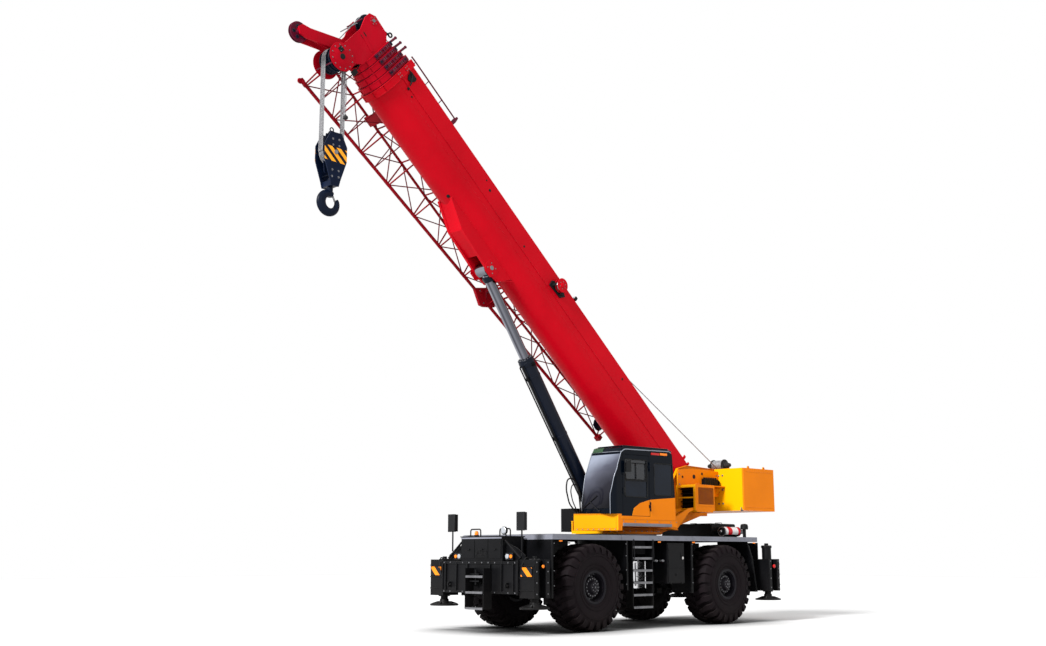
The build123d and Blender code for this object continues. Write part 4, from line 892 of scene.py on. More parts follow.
for y in (2.58, 3.18):
    ed.tube((1.010, y, 2.120), "Y", 0.114, 0.100, 0.024, 32)
ed.lathe((1.010, 3.28, 2.120), (0, 1, 0), [(0.0, 0.052), (0.10, 0.052), (0.104, 0.050), (0.104, 0.044), (0.02, 0.044), (0.02, 0.0)], 24)
ed.pipe([(0.780, 2.72, 2.12), (0.86, 2.72, 2.12), (0.93, 2.66, 2.12), (1.00, 2.56, 2.12), (1.01, 2.57, 2.12)], 0.042, 14, round_=0.04)
ed.done()
ai = Part("intake_details", "carrier", PLASTIC, bevel=0.002)
ai.lathe((1.13, 3.30, 2.175), (0, 0, 1), [(0, 0.086), (0.006, 0.090), (0.030, 0.090), (0.036, 0.086), (0.085, 0.088), (0.110, 0.088), (0.125, 0.070), (0.135, 0.030), (0.136, 0.0)], 36)
for k in range(24):
    a = 2 * math.pi * k / 24
    ai.box(0.086, 0.094, -0.004, 0.004, 2.19, 2.26, Matrix.Translation((1.13, 3.30, 0)) @ Matrix.Rotation(a, 4, "Z"))
ai.done()

# ------------------------------------------------------------------ superstructure
S = "superstructure"
for n, m in (("turntable", AMBER), ("counterweight", AMBER), ("hoist_winch", CAST), ("side_cabinets", AMBER), ("cab_platform", AMBER), ("cab_shell", CABBLACK),
             ("cab_glass", GLASS), ("cab_door", CABBLACK), ("door_glass", GLASS), ("cab_seat", CLOTH), ("cab_console", PLASTIC)):
    paint(n, m)

# slewing ring bolts, drive, swivel
tb1 = Part("slewing_bolts", S, STEEL)
for k in range(40):
    a = 2 * math.pi * (k + 0.5) / 40
    x, y = 0.945 * math.cos(a), 0.945 * math.sin(a)
    if not (abs(x) < 0.49 and y > -1.0):
        tb1.bolt((x, y, 2.080), (0, 0, 1), 0.013, 0.020)
tb1.done()
lowb = Part("ring_bolts_lower", "carrier", STEEL)
lowb.bolts((0, 0, 2.024), (0, 0, 1), 0.840, 44, 0.011, 0.004)
lowb.done()
dr = Part("slewing_drives", S, CAST, bevel=0.003)
for x, y in ((0.20, 0.55), (-0.20, 0.55)):
    dr.lathe((x, y, 2.080), (0, 0, 1), [(0, 0.150), (0.022, 0.150), (0.026, 0.118), (0.17, 0.112), (0.18, 0.130), (0.20, 0.130), (0.206, 0.090), (0.30, 0.086), (0.32, 0.070), (0.40, 0.066), (0.41, 0.0)], 32)
    dr.bolts((x, y, 2.102), (0, 0, 1), 0.134, 10, 0.008, 0.010)
dr.lathe((0, 0, 2.080), (0, 0, 1), [(0, 0.11), (0.03, 0.11), (0.035, 0.085), (0.16, 0.082), (0.17, 0.06), (0.19, 0.0)], 32)
dr.done()
cf = Part("cheek_flanges", S, AMBER, bevel=0.003)
CH = [(-1.050, 2.315), (0.510, 2.315), (0.700, 2.620), (1.440, 3.330), (1.620, 3.600), (1.960, 3.680), (3.000, 3.640)]
for s in (-1, 1):
    for (y0, z0), (y1, z1) in zip(CH, CH[1:]):
        d = Vector((0, y1 - y0, z1 - z0))
        n = Vector((0, -d.z, d.y)).normalized() * 0.012
        x0, x1 = s * 0.425, s * 0.500
        v = []
        for x in (x0, x1):
            for p in ((y0, z0), (y1, z1)):
                v += [(x, p[0], p[1]), (x, p[0] + n.y, p[1] + n.z)]
        f = [(0, 1, 3, 2), (4, 6, 7, 5), (0, 4, 5, 1), (2, 3, 7, 6), (1, 5, 7, 3), (0, 2, 6, 4)]
        cf.add(v, f if s < 0 else [g[::-1] for g in f])
    # boss plates round the boom's foot pin, stiffeners on the outer face
    cf.tube((s * 0.490, 2.0, 3.3), "X", 0.190, 0.075, 0.022, 48)
    for y0, z0, y1, z1 in ((0.70, 2.58, 1.02, 2.12), (1.55, 3.20, 1.50, 2.30), (2.55, 3.55, 2.55, 2.58)):
        cf.box(s * 0.480, s * 0.520, y0 - 0.008, y0 + 0.008, z1, z0)
cf.done()
pc = Part("foot_pin_caps", S, BLACK, bevel=0.003)
for s in (-1, 1):
    pc.lathe((s * 0.502, 2.0, 3.3), (s, 0, 0), [(0, 0.098), (0.012, 0.098), (0.016, 0.090), (0.016, 0.034), (0.010, 0.030), (0.010, 0.0)], 40)
    pc.lathe((s * 0.481, 2.30, 3.47), (s, 0, 0), [(0, 0.062), (0.006, 0.062), (0.008, 0.056), (0.008, 0.0)], 32)
pc.done()
pcb = Part("foot_pin_bolts", S, STEEL)
for s in (-1, 1):
    pcb.bolts((s * 0.516, 2.0, 3.3), (s, 0, 0), 0.070, 6, 0.010, 0.010)
    pcb.bolts((s * 0.502, 2.0, 3.3), (s, 0, 0), 0.160, 12, 0.009, 0.010)
    for d in (-1, 1):
        pcb.lathe((s * 0.250, -0.64, 2.33), (s, 0, 0), [(0, 0.075), (0.012, 0.075), (0.018, 0.050), (0.018, 0.0)], 28)
pcb.done()

# valve bank with its pipes beside the boom's foot, left; electric box and oil cooler, right
vb = Part("valve_bank", S, BLACK, bevel=0.004)
vb.box(0.50, 0.78, 2.30, 2.90, 3.215, 3.232)
for k in range(6):
    y = 2.34 + k * 0.088
    vb.box(0.54, 0.72, y, y + 0.074, 3.232, 3.38)
    vb.cyl((0.585, y + 0.037, 3.405), "Z", 0.020, 0.05, 14).cyl((0.675, y + 0.037, 3.398), "Z", 0.026, 0.036, 14)
vb.lathe((0.62, 2.93, 3.31), (0, 1, 0), [(0, 0.075), (0.02, 0.075), (0.025, 0.055), (0.06, 0.055), (0.064, 0.0)], 24)
vb.done()
vs = Part("valve_shelf", S, AMBER, bevel=0.004)
vs.box(0.480, 0.82, 2.262, 2.995, 3.190, 3.215).prism([(0.480, 3.19), (0.80, 3.19), (0.480, 2.86)], "xz", 2.55, 2.565).prism([(0.480, 3.19), (0.80, 3.19), (0.480, 2.86)], "xz", 2.90, 2.915)
vs.done()
vp = Part("valve_pipes", S, RUBBER)
for k in range(5):
    y = 2.377 + k * 0.088
    vp.pipe([(0.585, y, 3.42), (0.585, y, 3.47), (0.53, y - 0.06, 3.50), (0.505, y - 0.20, 3.44), (0.500, 2.16, 3.35 - 0.02 * k), (0.500, 1.75, 3.28 - 0.03 * k), (0.500, 1.62, 3.10 - 0.03 * k)], 0.010, 8, round_=0.06)
vp.done()
el = Part("right_side_boxes", S, BLACK, bevel=0.006)
el.box(-0.92, -0.490, -0.95, -0.30, 2.09, 2.62).box(-0.93, -0.92, -0.93, -0.32, 2.11, 2.60)
el.box(-0.86, -0.490, -0.10, 0.66, 2.09, 2.45)
el.done()
rc = Part("oil_tank_right", S, AMBER, bevel=0.01)
rc.box(-1.08, -0.490, 1.02, 2.30, 3.202, 3.212)
for y in (0.90, 1.70, 2.50):
    rc.box(-1.128, -1.120, y + 0.02, y + 0.30, 2.56, 2.58)
rc.lathe((-0.80, 2.60, 3.20), (0, 0, 1), [(0, 0.07), (0.05, 0.07), (0.055, 0.085), (0.085, 0.083), (0.095, 0.07), (0.095, 0.0)], 28)
rc.done()
rg = Part("right_cabinet_grille", S, BROWN, bevel=0.001)
for k in range(22):
    z = 2.615 + k * 0.022
    rg.prism([(-1.100, z), (-1.116, z + 0.004), (-1.116, z + 0.010), (-1.100, z + 0.014)], "xz", 0.905, 1.595)
rg.done()
rd = Part("right_cabinet_doors", S, AMBER, bevel=0.004)
for y0, y1 in ((1.66, 2.26), (2.29, 2.87)):
    rd.box(-1.128, -1.120, y0, y1, 2.56, 3.15)
    rd.box(-1.136, -1.128, y0 + 0.04, y0 + 0.10, 2.80, 2.92)
rd.done()

# left cabinet: frame of its openings, cooler core behind, side grille, door lines
lg = Part("left_cabinet_frame", S, AMBER, bevel=0.003)
lg.box(0.525, 1.020, 1.528, 1.540, 2.630, 2.652).box(0.525, 1.020, 1.528, 1.540, 3.138, 3.160).box(0.515, 0.532, 1.528, 1.540, 2.630, 3.160).box(1.008, 1.030, 1.528, 1.540, 2.630, 3.160)
lg.box(0.530, 1.010, 1.532, 1.560, 2.885, 2.915)
lg.box(1.060, 1.068, 1.600, 1.640, 2.70, 3.17).box(1.060, 1.068, 2.215, 2.250, 2.70, 3.17).box(1.060, 1.068, 1.640, 2.215, 3.140, 3.170).box(1.060, 1.068, 1.640, 2.215, 2.70, 2.74)
lg.box(0.52, 1.02, 1.60, 2.20, 3.200, 3.208)
for x in (0.60, 0.94):
    lg.pipe([(x, 1.72, 3.20), (x, 1.72, 3.235), (x, 1.86, 3.235), (x, 1.86, 3.20)], 0.008, 8, round_=0.02)
lg.done()
lk = Part("left_cooler_core", S, BLACK)
for k in range(38):
    x = 0.534 + k * 0.0126
    lk.box(x, x + 0.004, 1.700, 1.790, 2.655, 3.135)
for z in (2.70, 2.80, 2.99, 3.09):
    lk.box(0.532, 1.008, 1.64, 1.70, z, z + 0.022)
lk.done()
lgr = Part("left_cabinet_grille", S, BROWN, bevel=0.001)
for k in range(18):
    z = 2.745 + k * 0.0218
    lgr.prism([(1.060, z), (1.072, z + 0.003), (1.072, z + 0.008), (1.060, z + 0.015)], "xz", 1.642, 2.213)
lgr.done()

# strut plates between sill and cabinet, platform bolts
sp = Part("cab_rear_struts", S, AMBER, bevel=0.004)
for x in (0.62, 0.98):
    sp.prism([(0.535, 2.190), (0.535, 2.340), (0.66, 2.340), (1.34, 2.635), (1.545, 2.665), (1.545, 2.600), (1.36, 2.545), (0.900, 2.135), (0.80, 2.135)], "yz", x, x + 0.022)
sp.box(0.60, 1.02, 0.80, 0.93, 2.128, 2.150)
sp.done()
pl = Part("platform_details", S, AMBER, bevel=0.004)
nose = [(0.480, -1.965), (1.322, -1.450)]
d = Vector((nose[1][0] - nose[0][0], nose[1][1] - nose[0][1], 0)).normalized()
nn = Vector((d.y, -d.x, 0))
m = Matrix((Vector((d.x, d.y, 0)), -nn, Vector((0, 0, 1)))).transposed().to_4x4()
m.translation = Vector((0.480, -1.965, 0))
pl.box(0.05, 0.94, -0.008, 0.0, 2.125, 2.405, m)
pl.box(0.00, 0.985, -0.014, 0.0, 2.085, 2.100, m).box(0.00, 0.985, -0.014, 0.0, 2.430, 2.445, m)
pl.box(0.475, 1.326, -1.345, -1.33, 2.085, 2.18)
pl.done()
pb = Part("platform_bolts", S, STEEL)
for k in range(8):
    pb.bolt(m @ Vector((0.08 + k * 0.12, -0.014, 2.112)), (nn.x, nn.y, 0), 0.008, 0.009)
for y in (-1.28, -0.9, -0.5, -0.1, 0.3, 0.5):
    pb.bolt((1.322, y, 2.292), (1, 0, 0), 0.009, 0.010)
pb.done()
ss = Part("sill_step_strip", S, GREY, bevel=0.002)
ss.box(1.322, 1.334, -1.30, 0.335, 2.182, 2.250)
for k in range(46):
    y = -1.285 + k * 0.035
    ss.box(1.334, 1.338, y, y + 0.018, 2.190, 2.242)
ss.done()
hl = Part("platform_hoses", S, RUBBER)
hl.pipe([(0.50, -1.93, 2.47), (0.50, -1.97, 2.53), (0.50, -2.12, 2.66), (0.50, -2.22, 2.98), (0.495, -2.17, 3.20), (0.49, -1.98, 3.22), (0.485, -1.82, 3.02), (0.48, -1.77, 2.70), (0.46, -1.72, 2.47), (0.38, -1.45, 2.42), (0.28, -1.02, 2.40)], 0.016, 10, round_=0.16, steps=8)
hl.pipe([(0.54, -1.90, 2.47), (0.54, -1.95, 2.55), (0.54, -2.06, 2.72), (0.54, -2.12, 2.94), (0.535, -2.06, 3.08), (0.53, -1.92, 3.08), (0.525, -1.82, 2.92), (0.52, -1.79, 2.66), (0.46, -1.76, 2.43), (0.38, -1.40, 2.36), (0.31, -1.02, 2.34)], 0.012, 10, round_=0.14, steps=8)
for a in ((0.50, -1.93, 2.46), (0.54, -1.90, 2.46)):
    hl.cyl(a, "Z", 0.022, 0.05, 14)
hl.done()

# ------------------------------------------------------------------ cab
FRONT = [(-1.660, 2.445), (-1.680, 2.600), (-1.560, 3.250), (-1.330, 3.790), (-1.230, 3.850)]


def front_y(z):
    for (y0, z0), (y1, z1) in zip(FRONT, FRONT[1:]):
        if z <= z1:
            return y0 + (y1 - y0) * (z - z0) / (z1 - z0)
    return FRONT[-1][0]


def corner(y):
    """X of the cab's rounded outer front corner at a given Y."""
    return 1.322 if y >= -1.470 else 1.092 + math.sqrt(max(0.0, 0.230 ** 2 - (y + 1.470) ** 2))


def front_row(z, lift, x0, turn=45.0):
    """Points across the cab's front at height z, lifted off it, round the outer corner as far as turn degrees."""
    y = front_y(z)
    n = Vector((0, -(FRONT[2][1] - FRONT[1][1]), -(FRONT[2][0] - FRONT[1][0]) * 0.8)).normalized()
    edge = corner(y) if y < -1.470 else 1.322
    row = [Vector((x0 + (edge - x0) * k / 15, y, z)) + Vector((0, n.y, abs(n.z) * 0.3)) * lift for k in range(16)]
    a0 = math.degrees(math.asin(min(1.0, (edge - 1.092) / 0.230))) if y < -1.470 else 90.0
    for k in range(1, 9):
        a = math.radians(a0 + (max(a0, 90.0 - turn) - a0) * k / 8)
        row.append(Vector((1.092 + (0.230 + lift) * math.sin(a), -1.470 - (0.230 + lift) * math.cos(a), z)) if y < -1.470 else row[15] + Vector((lift * k / 8, 0, 0)))
    return row


def grid_slab(part, outer, inner):
    """Closed thin shell between two grids of points."""
    r, c = len(outer), len(outer[0])
    v = [p for row in outer for p in row] + [p for row in inner for p in row]
    n = r * c
    f = []
    for i in range(r - 1):
        for j in range(c - 1):
            a, b = i * c + j, (i + 1) * c + j
            f.append((a, a + 1, b + 1, b))
            f.append((n + a, n + b, n + b + 1, n + a + 1))
    for j in range(c - 1):
        f += [(j, n + j, n + j + 1, j + 1), ((r - 1) * c + j, (r - 1) * c + j + 1, n + (r - 1) * c + j + 1, n + (r - 1) * c + j)]
    for i in range(r - 1):
        a, b = i * c, (i + 1) * c
        f += [(a, b, n + b, n + a), (a + c - 1, n + a + c - 1, n + b + c - 1, b + c - 1)]
    return part.add(v, f)


# windscreen and display base colour holds a painted reflection: near black low down, grey toward the top
SHINE = shader("windscreen_painted_reflection", (0.020, 0.020, 0.026), (0.04, 0.08), dark=0.85, patch=1.5, coat=0.05, bump=0.0, spec=0.12)
t = SHINE.node_tree
sh = t.nodes["Principled BSDF"]
tc = node(t, "ShaderNodeTexCoord").outputs["Object"]
dt = node(t, "ShaderNodeVectorMath", operation="DOT_PRODUCT")
dt.inputs[1].default_value = (-0.55, 0.0, 1.0)
t.links.new(tc, dt.inputs[0])
painted_reflection_pos = maprange(t, dt.outputs["Value"], 1.95, 3.30, 0.0, 1.0)
painted_reflection_pos = math_node(t, "ADD", painted_reflection_pos, maprange(t, noise(t, tc, 1.4, 3, 0.5), 0.3, 0.7, -0.08, 0.08))
t.links.new(ramp(t, painted_reflection_pos, [(0.0, (0.0030, 0.0030, 0.0045)), (0.40, (0.010, 0.010, 0.015)), (0.70, (0.055, 0.058, 0.078)), (1.0, (0.19, 0.21, 0.26))]), sh.inputs["Base Color"])

# opaque dark shell over the windscreen, carrying the painted reflection
ws = Part("windscreen_outer", S, SHINE, smooth=60)
zs = list(np.linspace(2.560, 3.745, 26))
grid_slab(ws, [front_row(z, 0.010, 0.462) for z in zs], [front_row(z, 0.002, 0.462) for z in zs])
ws.done()
lowp = Part("windscreen_apron", S, CABBLACK, smooth=60)
zs = list(np.linspace(2.450, 2.545, 5))
grid_slab(lowp, [front_row(z, 0.010, 0.462) for z in zs], [front_row(z, 0.001, 0.462) for z in zs])
lowp.done()
wi = Part("windscreen_wiper", S, PLASTIC, bevel=0.001)
r0 = front_row(2.62, 0.030, 0.50)
wi.lathe((0.98, front_y(2.50) - 0.006, 2.50), (0, -1, 0.1), [(0, 0.032), (0.02, 0.030), (0.034, 0.022), (0.036, 0.0)], 20)
wi.rod((0.98, front_y(2.50) - 0.034, 2.505), (0.72, front_y(2.70) - 0.036, 2.70), 0.008)
wi.rod((0.96, front_y(2.50) - 0.030, 2.515), (0.70, front_y(2.72) - 0.032, 2.72), 0.005)
wi.rod((0.54, front_y(2.585) - 0.030, 2.585), (0.90, front_y(2.84) - 0.030, 2.84), 0.009)
wi.rod((0.54, front_y(2.585) - 0.022, 2.585), (0.90, front_y(2.84) - 0.022, 2.84), 0.005)
wi.done()
pt = Part("pillar_trims", S, SILVER)
left_line = [Vector((0.452, front_y(z), z)) + Vector((0, -0.012, 0.003)) for z in np.linspace(2.445, 3.79, 14)]
right_line = []
for z in np.linspace(2.445, 3.79, 20):
    row = front_row(z, 0.014, 0.462)
    right_line.append(row[-1])
for ln in (left_line, right_line):
    pt.pipe(ln, 0.0085, 10)
pt.pipe([(0.452, -1.33, 3.80), (0.60, -1.338, 3.802), (1.20, -1.338, 3.802), (1.322, -1.325, 3.80)], 0.007, 10, round_=0.05)
pt.pipe([(1.330, -1.33, 3.79), (1.334, -1.23, 3.852), (1.330, -0.4, 3.866), (1.326, 0.30, 3.878), (1.30, 0.395, 3.830), (1.20, 0.41, 3.83)], 0.012, 10, round_=0.06)
pt.done()
vi = Part("roof_visor", S, glass("visor_green", (0.02, 0.14, 0.03)), bevel=0.002)
vi.prism([(-1.352, 3.805), (-1.290, 3.900), (-1.225, 3.9185), (-0.80, 3.9185), (-0.80, 3.911), (-1.222, 3.9115), (-1.283, 3.893), (-1.344, 3.802)], "yz", 0.475, 0.78)
vi.done()
rc = Part("roof_cap", S, CABBLACK, bevel=0.016)
rc.prism([(-1.345, 3.800), (-1.285, 3.893), (-1.215, 3.912), (0.345, 3.910), (0.398, 3.884), (0.405, 3.862), (-1.225, 3.848)], "yz", 0.468, 1.312)
rc.done()
rf = Part("roof_guard", S, CABBLACK, bevel=0.002)
rf.pipe([(0.90, -1.215, 3.930), (1.285, -1.215, 3.930), (1.285, 0.335, 3.928), (0.495, 0.335, 3.928), (0.495, -1.215, 3.926), (0.90, -1.215, 3.930)], 0.014, 10, round_=0.08)
for x in (0.62, 0.76, 0.90, 1.03, 1.16):
    rf.rod((x, -1.205, 3.929), (x, 0.325, 3.927), 0.009, 8)
for y in (-0.85, -0.45, -0.05):
    rf.rod((0.505, y, 3.929), (1.275, y, 3.929), 0.007, 8)
for x in (0.495, 1.285):
    for y in (-1.10, -0.45, 0.25):
        rf.rod((x, y, 3.895), (x, y, 3.930), 0.010, 8)
rf.done()
bc = Part("roof_beacon", S, AMBERLAMP)
bc.lathe((0.62, 0.21, 3.93), (0, 0, 1), [(0, 0.045), (0.06, 0.043), (0.085, 0.030), (0.095, 0.0)], 28)
bc.done()
mk = Part("side_marker_red", S, REDLAMP, bevel=0.003)
mk.box(1.322, 1.338, -0.335, -0.06, 3.772, 3.822)
mk.done()
mk = Part("side_marker_amber", S, AMBERLAMP, bevel=0.003)
mk.box(1.322, 1.338, -0.03, 0.21, 3.778, 3.828)
mk.done()

wr = Part("window_rubbers", S, RUBBER)


def rubber(part, x, y0, y1, z0, z1, r=0.011, c=0.05):
    part.pipe([(x, (y0 + y1) / 2, z0), (x, y1, z0), (x, y1, z1), (x, y0, z1), (x, y0, z0), (x, (y0 + y1) / 2, z0)], r, 8, round_=c)


rubber(wr, 1.322, -0.235, 0.400, 2.880, 3.590)
rubber(wr, 0.440, -1.150, 0.350, 2.800, 3.640)
for y, x0, x1, z0, z1 in ((0.452, 0.56, 1.20, 2.860, 3.600),):
    wr.pipe([((x0 + x1) / 2, y, z0), (x1, y, z0), (x1, y - 0.045, z1), (x0, y - 0.045, z1), (x0, y, z0), ((x0 + x1) / 2, y, z0)], 0.011, 8, round_=0.05)
wr.done()
sg = Part("rear_side_glass", S, SIDEFILM, bevel=0.001)
sg.box(1.3105, 1.3145, -0.225, 0.390, 2.890, 3.580)
sg.done()
am = Part("cab_lower_panel", S, AMBER, bevel=0.002)
am.prism([(-1.338, 2.332), (0.478, 2.332), (0.470, 2.840), (-0.05, 2.802), (-0.393, 2.772), (-0.393, 2.402), (-1.338, 2.402)], "yz", 1.3222, 1.3285)
am.done()

# door: amber lower panel, rubber, sliding pane's frame, handle, mirror
dp = Part("door_lower_panel", "left_door", AMBER, bevel=0.002)
dp.prism([(-1.000, 2.412), (-0.934, 2.578), (-0.732, 2.690), (-0.412, 2.768), (-0.412, 2.412)], "yz", 1.3222, 1.3285)
dp.done()
drb = Part("door_rubbers", "left_door", RUBBER)
rubber(drb, 1.322, -1.215, -0.485, 2.820, 3.640)
drb.rod((1.3215, -1.205, 3.180), (1.3215, -0.495, 3.180), 0.015, 8).rod((1.3205, -0.850, 3.190), (1.3205, -0.850, 3.560), 0.009, 8)
rubber(drb, 1.3210, -1.190, -0.520, 3.200, 3.560, 0.010, 0.05)
drb.done()
dg = Part("door_lower_film", "left_door", SIDEFILM, bevel=0.001)
dg.box(1.3105, 1.3145, -1.205, -0.495, 2.830, 3.170)
dg.done()
dh = Part("door_hardware", "left_door", PLASTIC, bevel=0.003)
dh.box(1.3222, 1.334, -1.270, -1.225, 2.86, 3.02)
dh.pipe([(1.322, -1.250, 2.88), (1.362, -1.250, 2.89), (1.362, -1.250, 3.00), (1.322, -1.250, 3.01)], 0.008, 8, round_=0.012)
dh.pipe([(1.322, -1.265, 3.30), (1.375, -1.265, 3.30), (1.400, -1.215, 3.42), (1.402, -1.18, 3.47)], 0.009, 8, round_=0.03)
dh.box(1.385, 1.417, -1.245, -1.105, 3.350, 3.605)
dh.done()
dm = Part("door_mirror_glass", "left_door", POLISH)
dm.box(1.392, 1.410, -1.104, -1.100, 3.362, 3.592)
dm.done()

# inside: levers, pedals, display
ct = Part("cab_controls", S, PLASTIC, bevel=0.002)
for x in (0.58, 1.18):
    ct.rod((x, -0.56, 3.005), (x, -0.575, 3.13), 0.010, 10)
    ct.lathe((x, -0.575, 3.12), (0, -0.1, 1), [(0, 0.018), (0.03, 0.026), (0.075, 0.022), (0.085, 0.0)], 16)
    ct.torus((x, -0.56, 3.012), (0, 0, 1), 0.035, 0.010, 20, 6)
for x in (0.78, 0.98):
    ct.box(x - 0.04, x + 0.04, -1.18, -1.12, 2.42, 2.56)
ct.box(1.09, 1.12, -1.30, -1.08, 3.02, 3.22).rod((1.105, -1.20, 2.95), (1.105, -1.20, 3.03), 0.012)
for k in range(5):
    ct.box(0.68 + k * 0.075, 0.73 + k * 0.075, -1.30, -1.285, 3.02, 3.05)
ct.done()
# the display screen shares the windscreen's painted reflection
sc = Part("display_screen", S, SHINE)
sc.box(1.088, 1.090, -1.285, -1.095, 3.035, 3.205)
sc.done()

# ------------------------------------------------------------------ counterweight and winch
cd = Part("counterweight_details", S, AMBER, bevel=0.004)
for s in (-1, 1):
    for y in (3.42, 4.05):
        cd.prism([(y - 0.05, 3.647), (y + 0.05, 3.647), (y + 0.03, 3.70), (y + 0.012, 3.715), (y - 0.012, 3.715), (y - 0.03, 3.70)], "yz", s * 1.20, s * 1.225)
    cd.box(s * 1.351, s * 1.356, 3.10, 4.20, 2.700, 2.712).box(s * 1.351, s * 1.356, 3.10, 4.20, 3.560, 3.572)
    cd.box(s * 0.50, s * 0.53, 3.0, 3.007, 2.66, 3.60)
cd.box(-1.30, 1.30, 4.299, 4.304, 2.69, 2.70).box(-1.30, 1.30, 4.299, 4.304, 3.57, 3.58)
cd.box(-0.20, 0.20, 4.299, 4.312, 2.64, 2.68)
cd.done()
ce = Part("counterweight_fittings", S, STEEL, bevel=0.002)
for s in (-1, 1):
    ce.torus((s * 1.30, 3.000, 2.66), (1, 0, 0), 0.030, 0.010, 24, 8)
    ce.box(s * 1.27, s * 1.34, 2.995, 3.010, 2.60, 2.645)
    for z in (2.80, 3.14, 3.48):
        for x in (0.62, 0.74):
            ce.bolt((s * x, 3.007, z), (0, -1, 0), 0.018, 0.018)
    for y in (3.42, 4.05):
        ce.bolt((s * 1.21, y, 3.690), (s, 0, 0), 0.012, 0.022)
    for x in (0.30, 0.90):
        ce.bolt((s * x, 4.299, 2.66), (0, 1, 0), 0.016, 0.016)
ce.done()
cl = Part("counterweight_lamps", S, REDLAMP, bevel=0.003)
for s in (-1, 1):
    cl.box(s * 1.10, s * 1.30, 4.299, 4.314, 2.74, 2.80)
cl.done()
wd = Part("winch_rope_coil", S, ROPE, smooth=60)
prof = [(-0.158, 0.106)]
for k in range(14):
    x = -0.150 + k * 0.0231
    for a in range(0, 181, 30):
        prof.append((x - 0.0105 * math.cos(math.radians(a)), 0.122 + 0.0105 * math.sin(math.radians(a))))
prof.append((0.160, 0.106))
wd.lathe((0, 3.860, 3.804), (1, 0, 0), prof, 48)
wd.done()
wm = Part("winch_details", S, CAST, bevel=0.002)
for s in (-1, 1):
    wm.tube((s * 0.17, 3.860, 3.804), "X", 0.152, 0.140, 0.024, 40)
    wm.lathe((s * 0.205, 3.860, 3.804), (s, 0, 0), [(0, 0.085), (0.03, 0.083), (0.034, 0.060), (0.10, 0.058), (0.104, 0.045), (0.14, 0.043), (0.142, 0.0)], 28)
    wm.box(s * 0.175, s * 0.30, 3.69, 4.03, 3.647, 3.665)
wm.done()
wb = Part("winch_bolts", S, STEEL)
for s in (-1, 1):
    wb.bolts((s * 0.235, 3.860, 3.804), (s, 0, 0), 0.072, 8, 0.006, 0.008)
    for y in (3.71, 4.01):
        wb.bolt((s * 0.27, y, 3.665), (0, 0, 1), 0.011, 0.012)
wb.done()
pr = Part("winch_press_roller", S, AMBER, bevel=0.002)
pr.cyl((0, 4.02, 3.84), "X", 0.022, 0.33, 16)
for s in (-1, 1):
    pr.box(s * 0.168, s * 0.180, 3.99, 4.05, 3.655, 3.86)
pr.done()

# plates outside the turntable's cheeks, at the boom's hinge
fp = Part("hinge_side_plates", S, AMBER, bevel=0.005)
fh = Part("hinge_plate_holes_painted_shade", S, RUBBER)
fb = Part("hinge_plate_bolts", S, STEEL)
for s in (-1, 1):
    fp.prism([(1.430, 3.160), (1.430, 3.500), (1.500, 3.566), (1.950, 3.606), (2.620, 3.602), (2.995, 3.577), (2.995, 2.960), (2.320, 2.960), (2.320, 3.160)], "yz", s * 0.600, s * 0.620)
    for y, z in ((1.70, 3.30), (2.80, 3.10)):
        fp.cyl((s * 0.565, y, z), "X", 0.045, 0.074, 24)
    # dark discs on the plates: painted shade standing in for holes
    for y, z, r in ((2.05, 3.42, 0.052), (2.36, 3.50, 0.034), (2.50, 3.30, 0.060), (1.62, 3.40, 0.030)):
        fh.lathe((s * 0.620, y, z), (s, 0, 0), [(0, r), (0.0035, r * 0.97), (0.0035, r * 0.80), (0.001, r * 0.78), (0.001, 0.0)], 28)
    for y, z in ((1.50, 3.22), (1.50, 3.46), (2.92, 3.05), (2.92, 3.48), (2.20, 3.22)):
        fb.bolt((s * 0.620, y, z), (s, 0, 0), 0.014, 0.014)
fp.done(), fh.done(), fb.done()


# driver's seat: crowned cushion and backrest on a suspension base
def pad(name, m, hx, hy, hz, crown, channels, fill, power=5.0, n=18):
    p = Part(name, S, CLOTH, smooth=180)
    verts, faces, index = [], [], {}

    def vid(q):
        key = tuple(round(c, 5) for c in q)
        if key not in index:
            index[key] = len(verts)
            norm = sum(abs(c) ** power for c in q) ** (1 / power)
            x, y, z = (c / norm for c in q)
            up = hz * z * (1 + crown * (1 - x * x) * (1 - y * y))
            if z > 0.3:
                up -= sum(0.010 * math.exp(-((y * hy - c) / 0.010) ** 2) for c in channels)
            verts.append((hx * x * (1 - 0.045 * (1 - y * y)), hy * y * (1 - 0.045 * (1 - x * x)), up))
        return index[key]

    g = [-1 + 2 * k / n for k in range(n + 1)]
    for axis in range(3):
        for sign in (-1, 1):
            for a in range(n):
                for b in range(n):
                    quad = []
                    for u, w in ((g[a], g[b]), (g[a + 1], g[b]), (g[a + 1], g[b + 1]), (g[a], g[b + 1])):
                        q = [u, w]
                        q.insert(axis, float(sign))
                        quad.append(vid(tuple(q)))
                    if (sign > 0) != (axis != 1):
                        quad = quad[::-1]
                    faces.append(tuple(quad))
    p.add(verts, faces, m)
    return p


def seat_frame_at(y, z, tilt):
    return Matrix.Translation((0.88, y, z)) @ Matrix.Rotation(math.radians(tilt), 4, "X")


